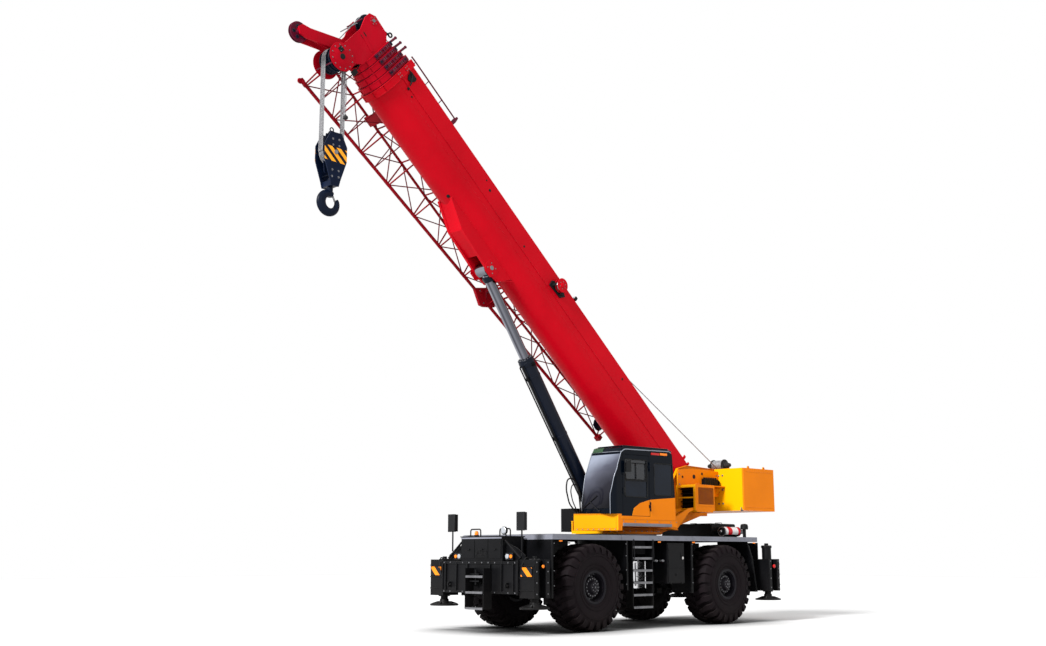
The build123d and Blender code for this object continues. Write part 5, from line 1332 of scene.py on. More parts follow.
pc = pad("seat_cushion", None, 0.235, 0.240, 0.062, 0.28, (-0.10, 0.0, 0.10), 0.7)
pc.v = [seat_frame_at(-0.375, 2.812, -2.5) @ Vector(p) for p in pc.v]
o = pc.done()
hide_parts("cab_seat")
pk = pad("seat_backrest", None, 0.215, 0.330, 0.052, 0.22, (-0.16, -0.05, 0.06, 0.17), 0.7)
pk.v = [seat_frame_at(-0.030, 3.175, 82.0) @ Vector(p) for p in pk.v]
o = pk.done()
sf_ = Part("seat_base", S, PLASTIC, bevel=0.004)
for k in range(7):
    z = 2.385 + k * 0.048
    sf_.box(0.745 + 0.012 * (k % 2), 1.015 - 0.012 * (k % 2), -0.525 + 0.012 * (k % 2), -0.195 - 0.012 * (k % 2), z, z + 0.046)
sf_.box(0.690, 1.070, -0.570, -0.170, 2.722, 2.748)
sf_.prism([(-0.165, 2.735), (-0.120, 2.735), (0.005, 3.300), (0.035, 3.470), (0.005, 3.470), (-0.025, 3.300)], "yz", 0.74, 0.76)
sf_.prism([(-0.165, 2.735), (-0.120, 2.735), (0.005, 3.300), (0.035, 3.470), (0.005, 3.470), (-0.025, 3.300)], "yz", 1.00, 1.02)
for s in (-1, 1):
    x = 0.88 + s * 0.300
    sf_.box(x - 0.040, x + 0.040, -0.440, -0.300, 2.376, 2.905)
    sf_.prism([(-0.640, 2.950), (-0.560, 3.008), (-0.120, 3.008), (-0.120, 2.930), (-0.300, 2.900), (-0.600, 2.900)], "yz", x - 0.048, x + 0.048)
sf_.done()

# ------------------------------------------------------------------ boom
TIP_Y, TIP_Z = -8.2460, 11.2741
SECTIONS = [("boom_base", "boom", 0.404, 0.368, 12.000, 0.150), ("boom_section_2", "section_2", 0.372, 0.336, 12.140, 0.118), ("boom_section_3", "section_3", 0.342, 0.306, 12.280, 0.118),
            ("boom_section_4", "section_4", 0.312, 0.276, 12.420, 0.118), ("boom_head_section", "boom_head", 0.282, 0.246, 12.560, 0.118)]
BELLY = -0.308
paint("boom_base", RED)
for nm in ("boom_section_2", "boom_section_3", "boom_section_4", "boom_head_section"):
    paint(nm, RED2)
paint("head_sheaves", NAVY2)
paint("jib_lattice", JIBRED)
paint("lift_rod", CHROME)
paint("lift_barrel", NAVY)
PURPLE = shader("roller_maroon", (0.085, 0.003, 0.016), (0.34, 0.5), dark=0.75, patch=6.0)


def B(xb, lat, zb):
    """Place in the boom's own frame: distance from the pivot, sideways, height."""
    return (lat, -xb, zb)


def outline(half, top, n=28):
    """Section outline of the boom: flat top and sides, half-round belly, as (sideways, height)."""
    c = 0.012
    pts = [(-half, top - c), (-half + c, top), (half - c, top), (half, top - c)]
    pts += [(half, top - c + (BELLY - top + c) * k / 5) for k in range(1, 5)]
    pts += [(half * math.cos(math.pi * k / n), BELLY - half * math.sin(math.pi * k / n)) for k in range(n + 1)]
    pts += [(-half, BELLY + (top - c - BELLY) * k / 5) for k in range(1, 5)]
    return pts


def band(part, x0, x1, half, top, lift, sink=0.002):
    """Belt around the section, standing lift proud of it."""
    o, i = outline(half + lift, top + lift), outline(half - sink, top - sink)
    n = len(o)
    v = [B(x0, *p) for p in o] + [B(x1, *p) for p in o] + [B(x1, *p) for p in i] + [B(x0, *p) for p in i]
    f = []
    for r in range(4):
        for k in range(n):
            j = (k + 1) % n
            a, b = r * n, ((r + 1) % 4) * n
            f.append((a + k, a + j, b + j, b + k))
    return part.add(v, f)


def laid(part, a, b, r, lay=0.15, strands=6, per=3, turn=0.0):
    """Straight run of wire rope: strands laid around each other."""
    a, b = Vector(a), Vector(b)
    d = b - a
    fr = axis_frame(a, d)
    n = strands * per
    steps = max(2, int(d.length / (lay / 9)))
    v, f = [], []
    for i in range(steps + 1):
        s = d.length * i / steps
        tw = 2 * math.pi * s / lay + turn
        for k in range(n):
            rr = r * (0.78 if k % per == 0 else 1.0)
            an = 2 * math.pi * k / n + tw
            v.append((rr * math.cos(an), rr * math.sin(an), s))
    for i in range(steps):
        for k in range(n):
            j = (k + 1) % n
            f.append((i * n + k, i * n + j, (i + 1) * n + j, (i + 1) * n + k))
    f.append(tuple(range(n))[::-1])
    f.append(tuple(range(steps * n, steps * n + n)))
    return part.add(v, f, fr)


for i, (nm, body, half, top, x1, cw) in enumerate(SECTIONS):
    tag = body if i else "boom_base"
    c0 = x1 - cw
    ch, ct = half + 0.046, top + 0.046
    # collar: weld beads both sides, wear pad keepers, bolts, rollers and guide rods
    cd = Part("collar_" + tag, body, RED if i == 0 else RED2, BOOM, bevel=0.002)
    band(cd, c0 - 0.006, c0 + 0.004, ch, ct, 0.004)
    band(cd, x1 - 0.014, x1 - 0.002, ch, ct, 0.005)
    for s in (-1, 1):
        for zb in (0.16, -0.10):
            cd.box(s * ch, s * (ch + 0.012), -(x1 - 0.028), -(c0 + 0.022), zb - 0.045, zb + 0.045)
        for a in (35, 70, 110, 145):
            ca, sa = math.cos(math.radians(a)), math.sin(math.radians(a))
            cd.rod(B(c0 + 0.02, ca * (ch + 0.004), BELLY - sa * (ch + 0.004)), B(x1 - 0.02, ca * (ch + 0.004), BELLY - sa * (ch + 0.004)), 0.008, 6)
    cd.done()
    cb = Part("collar_bolts_" + tag, body, STEEL, BOOM)
    for s in (-1, 1):
        for zb in (0.16, -0.10):
            for dz in (-0.028, 0.028):
                for dx in (0.042, cw - 0.042):
                    cb.bolt(B(c0 + dx, s * (ch + 0.012), zb + dz), (s, 0, 0), 0.008, 0.010)
    for lat in (-0.22, 0.22):
        for dx in (0.035, cw - 0.035):
            cb.bolt(B(c0 + dx, lat, ct), (0, 0, 1), 0.010, 0.012)
    cb.done()
    lug = top + 0.100 + 0.018 * (4 - i)
    pr_ = Part("rope_roller_" + tag, body, PURPLE, BOOM, bevel=0.001)
    xm = (c0 + x1) / 2
    pr_.cyl(B(xm, 0, 0.452), "X", 0.020, 0.260, 20)
    pr_.rod(B(xm, -0.19, 0.452), B(xm, 0.19, 0.452), 0.011, 12)
    if i >= 2:
        z1 = (0.735, 0.693, 0.655)[i - 2]
        pr_.rod(B(xm, 0.15, lug - 0.03), B(xm - 0.022, 0.15, z1), 0.026, 14)
        pr_.lathe(B(xm - 0.021, 0.15, z1 - 0.004), (0, 0.02, 1), [(0, 0.026), (0.004, 0.034), (0.016, 0.034), (0.020, 0.024), (0.022, 0.0)], 18)
        pr_.box(0.118, 0.150, -xm - 0.05, -xm + 0.030, lug - 0.02, lug + 0.045)
        pr_.rod(B(xm, -0.15, lug - 0.03), B(xm - 0.008, -0.15, lug + 0.07), 0.017, 12)
    pr_.done()
    # roller pins and grease lines down the collar's sides; a dark ring at its mouth, a wiper whose dark colour is also
    # painted shade of the gap between sections
    cs = Part("collar_side_lines_and_gap_shade_" + tag, body, PURPLE, BOOM, bevel=0.001)
    for s in (-1, 1):
        if i:
            for dx, r in ((0.030, 0.012), (0.062, 0.008), (0.090, 0.012)):
                cs.rod(B(c0 + dx, s * (ch + 0.018), -0.27), B(c0 + dx, s * (ch + 0.018), top + 0.02), r, 10)
                cs.rod(B(c0 + dx, s * (ch - 0.01), top + 0.02), B(c0 + dx, s * (ch + 0.018), top + 0.02), r, 10)
                cs.rod(B(c0 + dx, s * (ch - 0.01), -0.27), B(c0 + dx, s * (ch + 0.018), -0.27), r, 10)
            for zb in (0.23, 0.03, -0.17):
                cs.box(s * ch, s * (ch + 0.032), -(c0 + 0.105), -(c0 + 0.015), zb - 0.018, zb + 0.018)
    # dark ring round the next section: painted shade of the gap between the nested sections, also read as a wiper
    if i < 4:
        band(cs, x1 - 0.001, x1 + 0.010, SECTIONS[i + 1][2] + 0.036, SECTIONS[i + 1][3] + 0.036, 0.0, sink=0.028)
    cs.done()
    if i:
        ck = Part("collar_roller_blocks_" + tag, body, NAVY2, BOOM, bevel=0.003)
        for s in (-1, 1):
            for zb in (0.285, -0.235):
                ck.box(s * ch, s * (ch + 0.024), -(c0 + 0.108), -(c0 + 0.012), zb - 0.030, zb + 0.030)
                ck.lathe(B(c0 + 0.060, s * (ch + 0.024), zb), (s, 0, 0), [(0, 0.022), (0.006, 0.021), (0.008, 0.010), (0.012, 0.009), (0.012, 0.0)], 18)
        ck.done()

# base section: panel edges, hinge covers, reel, lamp, rail, small ports and dark discs painted as the shade of small
# holes
bd = Part("boom_base_seams", "boom", RED, BOOM)
for s in (-1, 1):
    for zb in (-0.054, 0.366):
        bd.rod(B(0.240, s * 0.413, zb), B(11.86, s * 0.413, zb), 0.0045, 6)
    bd.rod(B(-0.34, s * 0.4045, -0.215), B(11.86, s * 0.4045, -0.215), 0.004, 6)
    bd.pipe([B(6.88, s * 0.232, -0.62), B(7.16, s * 0.232, -0.97), B(7.41, s * 0.232, -1.03)], 0.005, 6)
for xb in (-0.10, 0.55):
    bd.box(-0.30, 0.30, -xb - 0.02, -xb + 0.02, 0.366, 0.392)
bd.done()
hp = Part("boom_hinge_covers", "boom", RED, BOOM, bevel=0.003)
for s in (-1, 1):
    hp.lathe(B(0, s * 0.424, 0), (s, 0, 0), [(0, 0.150), (0.006, 0.146), (0.006, 0.125), (0.012, 0.120), (0.012, 0.078)], 48)
    hp.box(s * 0.405, s * 0.430, -0.47, -0.40, 0.364, 0.455).box(s * 0.405, s * 0.430, -0.26, -0.20, 0.364, 0.420)
    hp.prism([(-7.60, -1.11), (-7.40, -1.11), (-7.32, -0.96), (-7.34, -0.80), (-7.66, -0.80), (-7.68, -0.96)], "yz", s * 0.230, s * 0.238)
hp.done()
hb = Part("boom_hinge_bolts", "boom", STEEL, BOOM, bevel=0.001)
for s in (-1, 1):
    hb.lathe(B(0, s * 0.490, 0), (s, 0, 0), [(0, 0.070), (0.004, 0.068), (0.004, 0.030), (0.010, 0.028), (0.010, 0.0)], 36)
    hb.bolts(B(0, s * 0.436, 0), (s, 0, 0), 0.100, 12, 0.009, 0.011)
    hb.lathe(B(7.5, s * 0.236, -0.912), (s, 0, 0), [(0, 0.052), (0.010, 0.050), (0.012, 0.040), (0.012, 0.0)], 32)
    for a, b in ((7.41, -0.99), (7.59, -0.99), (7.42, -0.84), (7.58, -0.84)):
        hb.bolt(B(a, s * 0.238, b), (s, 0, 0), 0.010, 0.012)
hb.done()
rl = Part("boom_side_rail", "boom", PURPLE, BOOM)
rl.pipe([B(12.02, 0.400, 0.505), B(11.90, 0.400, 0.512), B(10.46, 0.400, 0.512), B(10.40, 0.400, 0.52)], 0.016, 12, round_=0.04)
for xb in (11.88, 11.40, 10.92, 10.45):
    rl.rod(B(xb, 0.398, 0.366), B(xb, 0.400, 0.512), 0.010, 8)
    rl.box(0.376, 0.404, -xb - 0.03, -xb + 0.03, 0.366, 0.374)
rl.prism([(-10.44, 0.366), (-10.37, 0.366), (-10.365, 0.47), (-10.385, 0.59), (-10.43, 0.59), (-10.45, 0.47)], "yz", 0.384, 0.412)
rl.done()
rb = Part("cable_reel_bracket", "boom", RUBBER, BOOM, bevel=0.003)
rb.prism([(-6.25, 0.14), (-6.24, 0.00), (-5.98, 0.02), (-5.82, 0.035), (-5.735, 0.17), (-5.80, 0.20), (-6.16, 0.20)], "yz", 0.414, 0.445)
rb.box(0.445, 0.540, -5.90, -5.86, 0.05, 0.12).box(0.445, 0.540, -6.19, -6.15, 0.03, 0.12)
rb.cyl(B(6.02, 0.505, 0.215), "X", 0.105, 0.070, 36)
rb.done()
rd = Part("cable_reel_drum", "boom", RED, BOOM, bevel=0.001)
for lat in (0.466, 0.545):
    rd.lathe(B(6.02, lat, 0.215), (1, 0, 0), [(-0.005, 0.030), (-0.005, 0.158), (0.0, 0.163), (0.005, 0.158), (0.005, 0.030), (-0.005, 0.030)], 48)
rd.lathe(B(6.02, 0.540, 0.215), (1, 0, 0), [(0, 0.060), (0.020, 0.055), (0.028, 0.034), (0.030, 0.0)], 32)
rd.done()
rs = Part("cable_reel_bolts", "boom", STEEL, BOOM)
rs.bolts(B(6.02, 0.5505, 0.215), (1, 0, 0), 0.085, 6, 0.008, 0.008)
rs.rod(B(6.02, 0.414, 0.215), B(6.02, 0.47, 0.215), 0.024, 16)
for lat in (0.478, 0.492, 0.506, 0.520, 0.533):
    rs.torus(B(6.02, lat, 0.215), (1, 0, 0), 0.110, 0.0075, 40, 6)
rs.done()
lm = Part("boom_lamp_body", "boom", PLASTIC, BOOM, bevel=0.004)
lm.box(0.360, 0.400, -5.475, -5.435, 0.366, 0.405)
lm.box(0.335, 0.425, -5.505, -5.430, 0.395, 0.478)
lm.done()
ln = Part("boom_lamp_lens", "boom", CLEARLAMP, BOOM)
ln.lathe(B(5.505, 0.380, 0.437), (0, -1, 0), [(0, 0.034), (0.005, 0.033), (0.009, 0.020), (0.010, 0.0)], 24)
ln.done()
sf = Part("boom_side_fittings_and_hole_shade", "boom", RUBBER, BOOM, bevel=0.002)
sf.prism([(-11.80, 0.235), (-11.62, 0.235), (-11.60, 0.16), (-11.66, 0.05), (-11.74, 0.03), (-11.80, 0.12)], "yz", 0.414, 0.440)
sf.pipe([B(11.94, 0.430, 0.02), B(11.88, 0.446, 0.19), B(11.76, 0.450, 0.20), B(11.66, 0.446, 0.09), B(11.62, 0.440, -0.02)], 0.014, 10, round_=0.08)
sf.lathe(B(11.59, 0.405, -0.085), (1, 0, 0), [(0, 0.032), (0.018, 0.030), (0.022, 0.018), (0.034, 0.016), (0.036, 0.0)], 20)
sf.lathe(B(11.42, 0.405, -0.135), (1, 0, 0), [(0, 0.020), (0.014, 0.018), (0.018, 0.0)], 16)
# dark discs on the side panel: painted shade standing in for small holes
for xb, zb, r in ((8.77, 0.16, 0.034), (8.98, 0.25, 0.020), (7.30, 0.05, 0.026), (3.20, 0.20, 0.030)):
    sf.lathe(B(xb, 0.414, zb), (1, 0, 0), [(0, r), (0.003, r * 0.96), (0.003, r * 0.55), (0.006, r * 0.5), (0.006, 0.0)], 24)
sf.lathe(B(9.30, 0.16, -0.676), (0.4, 0, -0.92), [(0, 0.040), (0.010, 0.038), (0.012, 0.020), (0.020, 0.018), (0.021, 0.0)], 20)
sf.done()

# boom head: guards, keeper plates, rollers, limit switch, nose sheave face
hd = Part("head_plates", "boom_head", RED2, BOOM, bevel=0.003)
for s in (-1, 1):
    hd.lathe(B(12.95, s * 0.288, -0.93), (s, 0, 0), [(0, 0.300), (0.008, 0.296), (0.010, 0.200), (0.016, 0.190), (0.018, 0.085)], 64)
    hd.lathe(B(13.06, s * 0.288, 0.30), (s, 0, 0), [(0, 0.100), (0.008, 0.098), (0.010, 0.052)], 40)
    hd.prism([(-13.12, -0.10), (-12.62, -0.16), (-12.62, -0.24), (-13.12, -0.18)], "yz", s * 0.289, s * 0.297)
    hd.prism([(-12.90, -0.60), (-13.12, -0.50), (-13.74, -1.045), (-13.90, -1.14), (-13.92, -1.255), (-13.80, -1.33), (-13.66, -1.28), (-13.06, -0.78), (-12.92, -0.80)], "yz", s * 0.109, s * 0.150)
hd.box(-0.262, 0.262, -12.76, -12.70, 0.30, 0.345)
hd.done()
hk_ = Part("head_keepers", "boom_head", RUBBER, BOOM, bevel=0.003)
for s in (-1, 1):
    hk_.box(s * 0.288, s * 0.316, -13.135, -13.025, -0.905, -0.795)
    hk_.box(s * 0.288, s * 0.294, -13.03, -12.93, -0.21, -0.085)
    hk_.lathe(B(12.95, s * 0.300, -0.93), (s, 0, 0), [(0, 0.062), (0.016, 0.060), (0.018, 0.045), (0.018, 0.0)], 32)
hk_.prism([(-12.74, 0.40), (-12.62, 0.40), (-12.60, 0.50), (-12.66, 0.56), (-12.74, 0.53)], "yz", -0.03, 0.03)
hk_.pipe([B(12.67, 0, 0.54), B(12.65, 0, 0.64), B(12.60, 0, 0.69)], 0.026, 12)
hk_.torus(B(12.565, 0, 0.715), (1, 0, 0), 0.045, 0.017, 28, 10)
hk_.box(-0.045, 0.045, -12.69, -12.61, 0.565, 0.640)
hk_.done()
hs = Part("head_bolts", "boom_head", STEEL, BOOM)
for s in (-1, 1):
    hs.bolts(B(12.95, s * 0.298, -0.93), (s, 0, 0), 0.245, 12, 0.010, 0.012)
    hs.bolts(B(13.06, s * 0.298, 0.30), (s, 0, 0), 0.076, 6, 0.008, 0.010)
    hs.lathe(B(13.06, s * 0.298, 0.30), (s, 0, 0), [(0, 0.040), (0.010, 0.038), (0.010, 0.0)], 28)
    hs.lathe(B(13.82, s * 0.120, -1.24), (s, 0, 0), [(0, 0.034), (0.012, 0.032), (0.012, 0.0)], 24)
    for xb, zb in ((13.10, -0.815), (13.06, -0.885)):
        hs.bolt(B(xb, s * 0.316, zb), (s, 0, 0), 0.008, 0.010)
hs.rod(B(13.245, -0.285, -0.10), B(13.245, 0.285, -0.10), 0.012, 12)
hs.done()
hg = Part("head_rope_guards", "boom_head", PURPLE, BOOM, bevel=0.001)
for xb, zb in ((13.235, 0.10), (12.665, -0.86), (13.0, -1.205)):
    hg.rod(B(xb, -0.262, zb), B(xb, 0.262, zb), 0.014, 12)
ax = B(13.82, 0, -1.24)
for lat, s in ((0.024, 1), (-0.024, -1)):
    hg.lathe(B(13.82, lat - 0.007 * s, -1.24), (s, 0, 0), [(0, 0.040), (0.0, 0.182), (0.006, 0.208), (0.012, 0.212), (0.018, 0.204), (0.020, 0.192), (0.010, 0.176), (0.010, 0.060), (0.030, 0.055), (0.060, 0.052), (0.060, 0.040), (0, 0.040)], 56)
hg.done()
# dark discs on the nose sheave: painted shade standing in for its holes
nh = Part("nose_sheave_holes_painted_shade", "boom_head", NAVY2, BOOM)
for s in (-1, 1):
    for k in range(5):
        a = 2 * math.pi * k / 5 + 0.5
        nh.lathe(B(13.82 + 0.115 * math.cos(a), s * 0.0275, -1.24 + 0.115 * math.sin(a)), (s, 0, 0), [(0, 0.040), (0.0015, 0.038), (0.0015, 0.0)], 20)
nh.done()
tr = Part("tip_sheave_faces", "boom_head", NAVY2, BOOM, bevel=0.001)
for lat in (-0.150, -0.060, -0.0215, 0.0215, 0.060, 0.150):
    w = 0.017 if abs(lat) > 0.03 else 0.011
    tr.lathe(B(12.95, lat, -0.93), (1, 0, 0), [(-w - 0.0005, 0.236), (-w - 0.004, 0.234), (-w - 0.004, 0.214), (-w - 0.0005, 0.210), (-w - 0.0005, 0.120), (-w + 0.001, 0.110), (-w + 0.001, 0.046),
             (w - 0.001, 0.046), (w - 0.001, 0.110), (w + 0.0005, 0.120), (w + 0.0005, 0.210), (w + 0.004, 0.214), (w + 0.004, 0.234), (w + 0.0005, 0.236), (0.0, 0.222), (-w - 0.0005, 0.236)], 56)
tr.done()

# hoist rope: drum to boom, along the boom's top, over the top sheave and down to the tip sheaves
guide = Part("rope_guide_roller", "boom", PURPLE, BOOM, bevel=0.002)
guide.cyl(B(3.98, 0.0, 0.440), "X", 0.028, 0.200, 24)
for s in (-1, 1):
    guide.prism([(-4.06, 0.366), (-3.90, 0.366), (-3.94, 0.47), (-4.02, 0.47)], "yz", s * 0.104, s * 0.116)
guide.done()
ROPES = [("hoist_rope_winch", S, None), ("hoist_rope_base", "boom", (3.98, 9.0)), ("hoist_rope_b", ("boom", "section_2"), (9.0, 10.0)), ("hoist_rope_c", ("section_2", "section_3"), (10.0, 11.0)),
         ("hoist_rope_d", ("section_3", "section_4"), (11.0, 12.0)), ("hoist_rope_e", ("section_4", "boom_head"), (12.0, 13.06))]


def over(xb):
    u = (xb - 3.98) / (13.06 - 3.98)
    return B(xb, 0.06 * u, 0.4785 + (0.501 - 0.4785) * u)


for nm, body, span in ROPES:
    if span is None:
        p = Part(nm, body, ROPE)
        a, b = Vector((0.0, 3.735, 3.745)), BOOM @ Vector(over(3.98))
        laid(p, a, b, 0.011)
        o = p.done(ride=False)
        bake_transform(o)
        continue
    p = Part(nm, body if isinstance(body, str) else body[0], ROPE, BOOM)
    laid(p, over(span[0]), over(span[1]), 0.011)
    if isinstance(body, str):
        p.done()
    else:
        o = p.done(ride=False)
        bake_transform(o)
ra = Part("hoist_rope_head", "boom_head", ROPE, BOOM)
arc = [B(13.06 + 0.201 * math.sin(math.radians(a)), 0.06, 0.30 + 0.201 * math.cos(math.radians(a))) for a in range(0, 96, 8)]
ra.pipe(arc, 0.011, 10)
end = B(12.95 + 0.241 * math.cos(math.radians(-2)), 0.06, -0.93 + 0.241 * math.sin(math.radians(-2)))
laid(ra, arc[-1], end, 0.011)
ra.done()

# ------------------------------------------------------------------ falls, block and hook
FX = (-0.060, -0.0215, 0.0215, 0.060)
fl = Part("falls_upper", "rope_falls", FALLROPE)
for k, x in enumerate(FX):
    for d in (-1, 1):
        laid(fl, (x, TIP_Y + d * 0.246, TIP_Z), (x, TIP_Y + d * 0.246, 10.95), 0.0115, turn=k)
    fl.pipe([(x, TIP_Y + 0.246 * math.cos(math.radians(a)), TIP_Z + 0.246 * math.sin(math.radians(a))) for a in range(0, 181, 12)], 0.0112, 8)
fl.done()
flo = Part("falls_lower", "rope_falls", FALLROPE)
for k, x in enumerate(FX):
    for d in (-1, 1):
        laid(flo, (x, TIP_Y + d * 0.246, 10.95), (x, TIP_Y + d * 0.246, 9.330), 0.0115, turn=k)
o = flo.done(ride=False)
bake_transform(o)
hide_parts("hoist_falls")
lw = Part("limit_weight", "rope_falls", CAST, smooth=60)
c = Vector((0.085, -7.985, 10.135))
lw.lathe(c - Vector((0, 0, 0.052)), (0, 0, 1), [(0, 0.0), (0.0, 0.022), (0.016, 0.044), (0.040, 0.053), (0.066, 0.046), (0.088, 0.024), (0.094, 0.012), (0.110, 0.011), (0.112, 0.0)], 32)
lw.done()
lc = Part("limit_chain", "rope_falls", STEEL)
z = 10.190
k = 0
while z < 10.96:
    ax_ = (1, 0, 0) if k % 2 else (0, 1, 0)
    m = Matrix.Translation((0.085, -7.985, z + 0.012)) @ Matrix.Diagonal((1, 1, 1.55, 1))
    q = Part("tmp", "rope_falls", STEEL)
    q.torus((0, 0, 0), ax_, 0.0085, 0.0028, 10, 5)
    lc.add(q.v, q.f, m)
    z += 0.021
    k += 1
lc.done()
ls = Part("limit_switch", "boom_head", RUBBER, BOOM, bevel=0.003)
ls.box(0.20, 0.262, -12.60, -12.50, -0.92, -0.80)
ls.rod(B(12.55, 0.23, -0.80), B(12.60, 0.23, -0.58), 0.012, 8)
ls.rod(B(12.55, 0.23, -0.90), B(12.50, 0.09, -0.94), 0.008, 8)
ls.done()

BLOCK = shader("block_navy_banded", (0.0022, 0.0062, 0.0210), (0.32, 0.48), dark=0.75, patch=5.0, edge=(0.006, 0.5, (0.08, 0.08, 0.10)), spec=0.08)
t = BLOCK.node_tree
bs = t.nodes["Principled BSDF"]
tc = node(t, "ShaderNodeTexCoord").outputs["Object"]
sp = node(t, "ShaderNodeSeparateXYZ")
t.links.new(tc, sp.inputs[0])
slant = math_node(t, "ADD", sp.outputs["Y"], sp.outputs["Z"])
fr_ = math_node(t, "FRACT", math_node(t, "ADD", math_node(t, "DIVIDE", slant, 0.195), 0.167))
bar = math_node(t, "LESS_THAN", math_node(t, "ABSOLUTE", math_node(t, "SUBTRACT", fr_, 0.5)), 0.27)
zc = math_node(t, "ABSOLUTE", math_node(t, "SUBTRACT", math_node(t, "ADD", sp.outputs["Z"], math_node(t, "MULTIPLY", sp.outputs["Y"], 0.06)), 9.276 - 8.25 * 0.06))
inz = math_node(t, "LESS_THAN", zc, 0.148)
side = math_node(t, "GREATER_THAN", math_node(t, "ABSOLUTE", sp.outputs["X"]), 0.166)
old = bs.inputs["Base Color"].links[0].from_socket
zone = math_node(t, "MULTIPLY", inz, side)
col = mix(t, zone, old, (0.010, 0.008, 0.012))
col = mix(t, math_node(t, "MULTIPLY", zone, bar), col, mix(t, maprange(t, noise(t, tc, 14.0, 4, 0.6), 0.4, 0.7, 0.0, 0.5), (0.85, 0.36, 0.02), (0.70, 0.22, 0.015)))
t.links.new(col, bs.inputs["Base Color"])
paint("hook_block", BLOCK)
kb = Part("block_bolts", "hook_block_body", STEEL)
for s in (-1, 1):
    for y, z in ((-8.326, 9.585), (-8.178, 9.590), (-8.174, 9.463), (-8.318, 9.463), (-8.322, 8.957), (-8.175, 8.952), (-8.326, 8.822), (-8.170, 8.828)):
        kb.bolt((s * 0.170, y, z), (s, 0, 0), 0.016, 0.014)
    kb.lathe((s * 0.176, TIP_Y, 9.329), (s, 0, 0), [(0, 0.046), (0.012, 0.044), (0.014, 0.020), (0.014, 0.0)], 32)
kb.done()
kp = Part("block_plates", "hook_block_body", NAVY2, bevel=0.002)
for s in (-1, 1):
    kp.prism([(TIP_Y - 0.10, 9.715), (TIP_Y + 0.10, 9.715), (TIP_Y + 0.045, 9.800), (TIP_Y - 0.045, 9.800)], "yz", s * 0.010, s * 0.022)
    for y, z in ((TIP_Y - 0.235, 9.40), (TIP_Y + 0.235, 9.40), (TIP_Y - 0.225, 9.20), (TIP_Y + 0.225, 9.20), (TIP_Y - 0.10, 8.86), (TIP_Y + 0.10, 8.86)):
        if z < 9.1:
            kp.rod((-0.146, y, z), (0.146, y, z), 0.020, 14)
kp.torus((0, TIP_Y, 9.830), (1, 0, 0), 0.040, 0.012, 28, 8)
kp.box(-0.022, 0.022, TIP_Y - 0.030, TIP_Y + 0.030, 9.765, 9.802)
for lat in (-0.060, -0.0215, 0.0215, 0.060):
    w = 0.017 if abs(lat) > 0.03 else 0.0105
    kp.lathe((lat, TIP_Y, 9.329), (1, 0, 0), [(-w - 0.0005, 0.224), (-w - 0.003, 0.222), (-w - 0.003, 0.205), (-w - 0.0005, 0.200), (-w - 0.0005, 0.046), (w + 0.0005, 0.046), (w + 0.0005, 0.200), (w + 0.003, 0.205),
             (w + 0.003, 0.222), (w + 0.0005, 0.224), (0.0, 0.213), (-w - 0.0005, 0.224)], 56)
kp.done()
kr = Part("block_rope_turns", "hook_block_body", FALLROPE)
for x in FX:
    kr.pipe([(x, TIP_Y + 0.2335 * math.cos(math.radians(a)), 9.329 + 0.2335 * math.sin(math.radians(a))) for a in range(180, 361, 12)], 0.0112, 8)
kr.done()

# forged hook: a tapering sweep from the shank round to the blunt tip, with its safety latch
hm = Part("hook_forging", "hook", NAVY2, smooth=70)
HC = Vector((0, TIP_Y, 8.330))
stations = [(60, 0.170, 0.052, 0.050), (72, 0.182, 0.056, 0.054), (90, 0.192, 0.064, 0.060), (110, 0.198, 0.074, 0.064), (135, 0.201, 0.086, 0.070), (160, 0.202, 0.095, 0.074), (185, 0.203, 0.099, 0.075), (210, 0.201, 0.098, 0.075),
            (235, 0.197, 0.094, 0.074), (260, 0.192, 0.088, 0.072), (285, 0.186, 0.080, 0.068), (310, 0.180, 0.072, 0.062), (335, 0.175, 0.065, 0.056), (355, 0.173, 0.058, 0.050), (372, 0.173, 0.052, 0.044), (384, 0.174, 0.045, 0.038), (389, 0.175, 0.034, 0.028)]
ang = [q[0] for q in stations]
fine_a = list(np.linspace(72, 389, 66))
v, f = [], []
m_ = 20
for a in fine_a:
    R_ = float(np.interp(a, ang, [q[1] for q in stations]))
    h_ = float(np.interp(a, ang, [q[2] for q in stations]))
    w_ = float(np.interp(a, ang, [q[3] for q in stations]))
    ca, sa = math.cos(math.radians(a)), math.sin(math.radians(a))
    for k in range(m_):
        th = 2 * math.pi * k / m_
        # rounded wedge: fuller on the inside of the bend
        rr = R_ - h_ * math.cos(th)
        x = w_ * math.sin(th) * (1.0 + 0.16 * math.cos(th))
        v.append(HC + Vector((x, rr * ca, rr * sa)))
nst = len(fine_a)
for i in range(nst - 1):
    for k in range(m_):
        j = (k + 1) % m_
        f.append((i * m_ + k, i * m_ + j, (i + 1) * m_ + j, (i + 1) * m_ + k))
f.append(tuple(range(m_))[::-1])
f.append(tuple(range((nst - 1) * m_, nst * m_)))
hm.add(v, f)
hm.lathe((0, TIP_Y, 8.450), (0, 0, 1), [(0, 0.0), (0.0, 0.060), (0.05, 0.056), (0.10, 0.050), (0.115, 0.058), (0.185, 0.058), (0.190, 0.040), (0.374, 0.040), (0.380, 0.0)], 36)
hm.lathe((0, TIP_Y, 8.770), (0, 0, 1), [(0, 0.0), (0.0, 0.060), (0.006, 0.062), (0.054, 0.062), (0.060, 0.058), (0.060, 0.0)], 6)
o = hm.done()
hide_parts("crane_hook")
la = Part("hook_latch", "hook", STEEL, bevel=0.0015)
a, b = Vector((0, TIP_Y + 0.052, 8.505)), Vector((0, TIP_Y + 0.118, 8.385))
for x in (-0.020, 0.020):
    la.rod(Vector((x, 0, 0)) + a, Vector((x * 0.6, 0, 0)) + b, 0.009, 10)
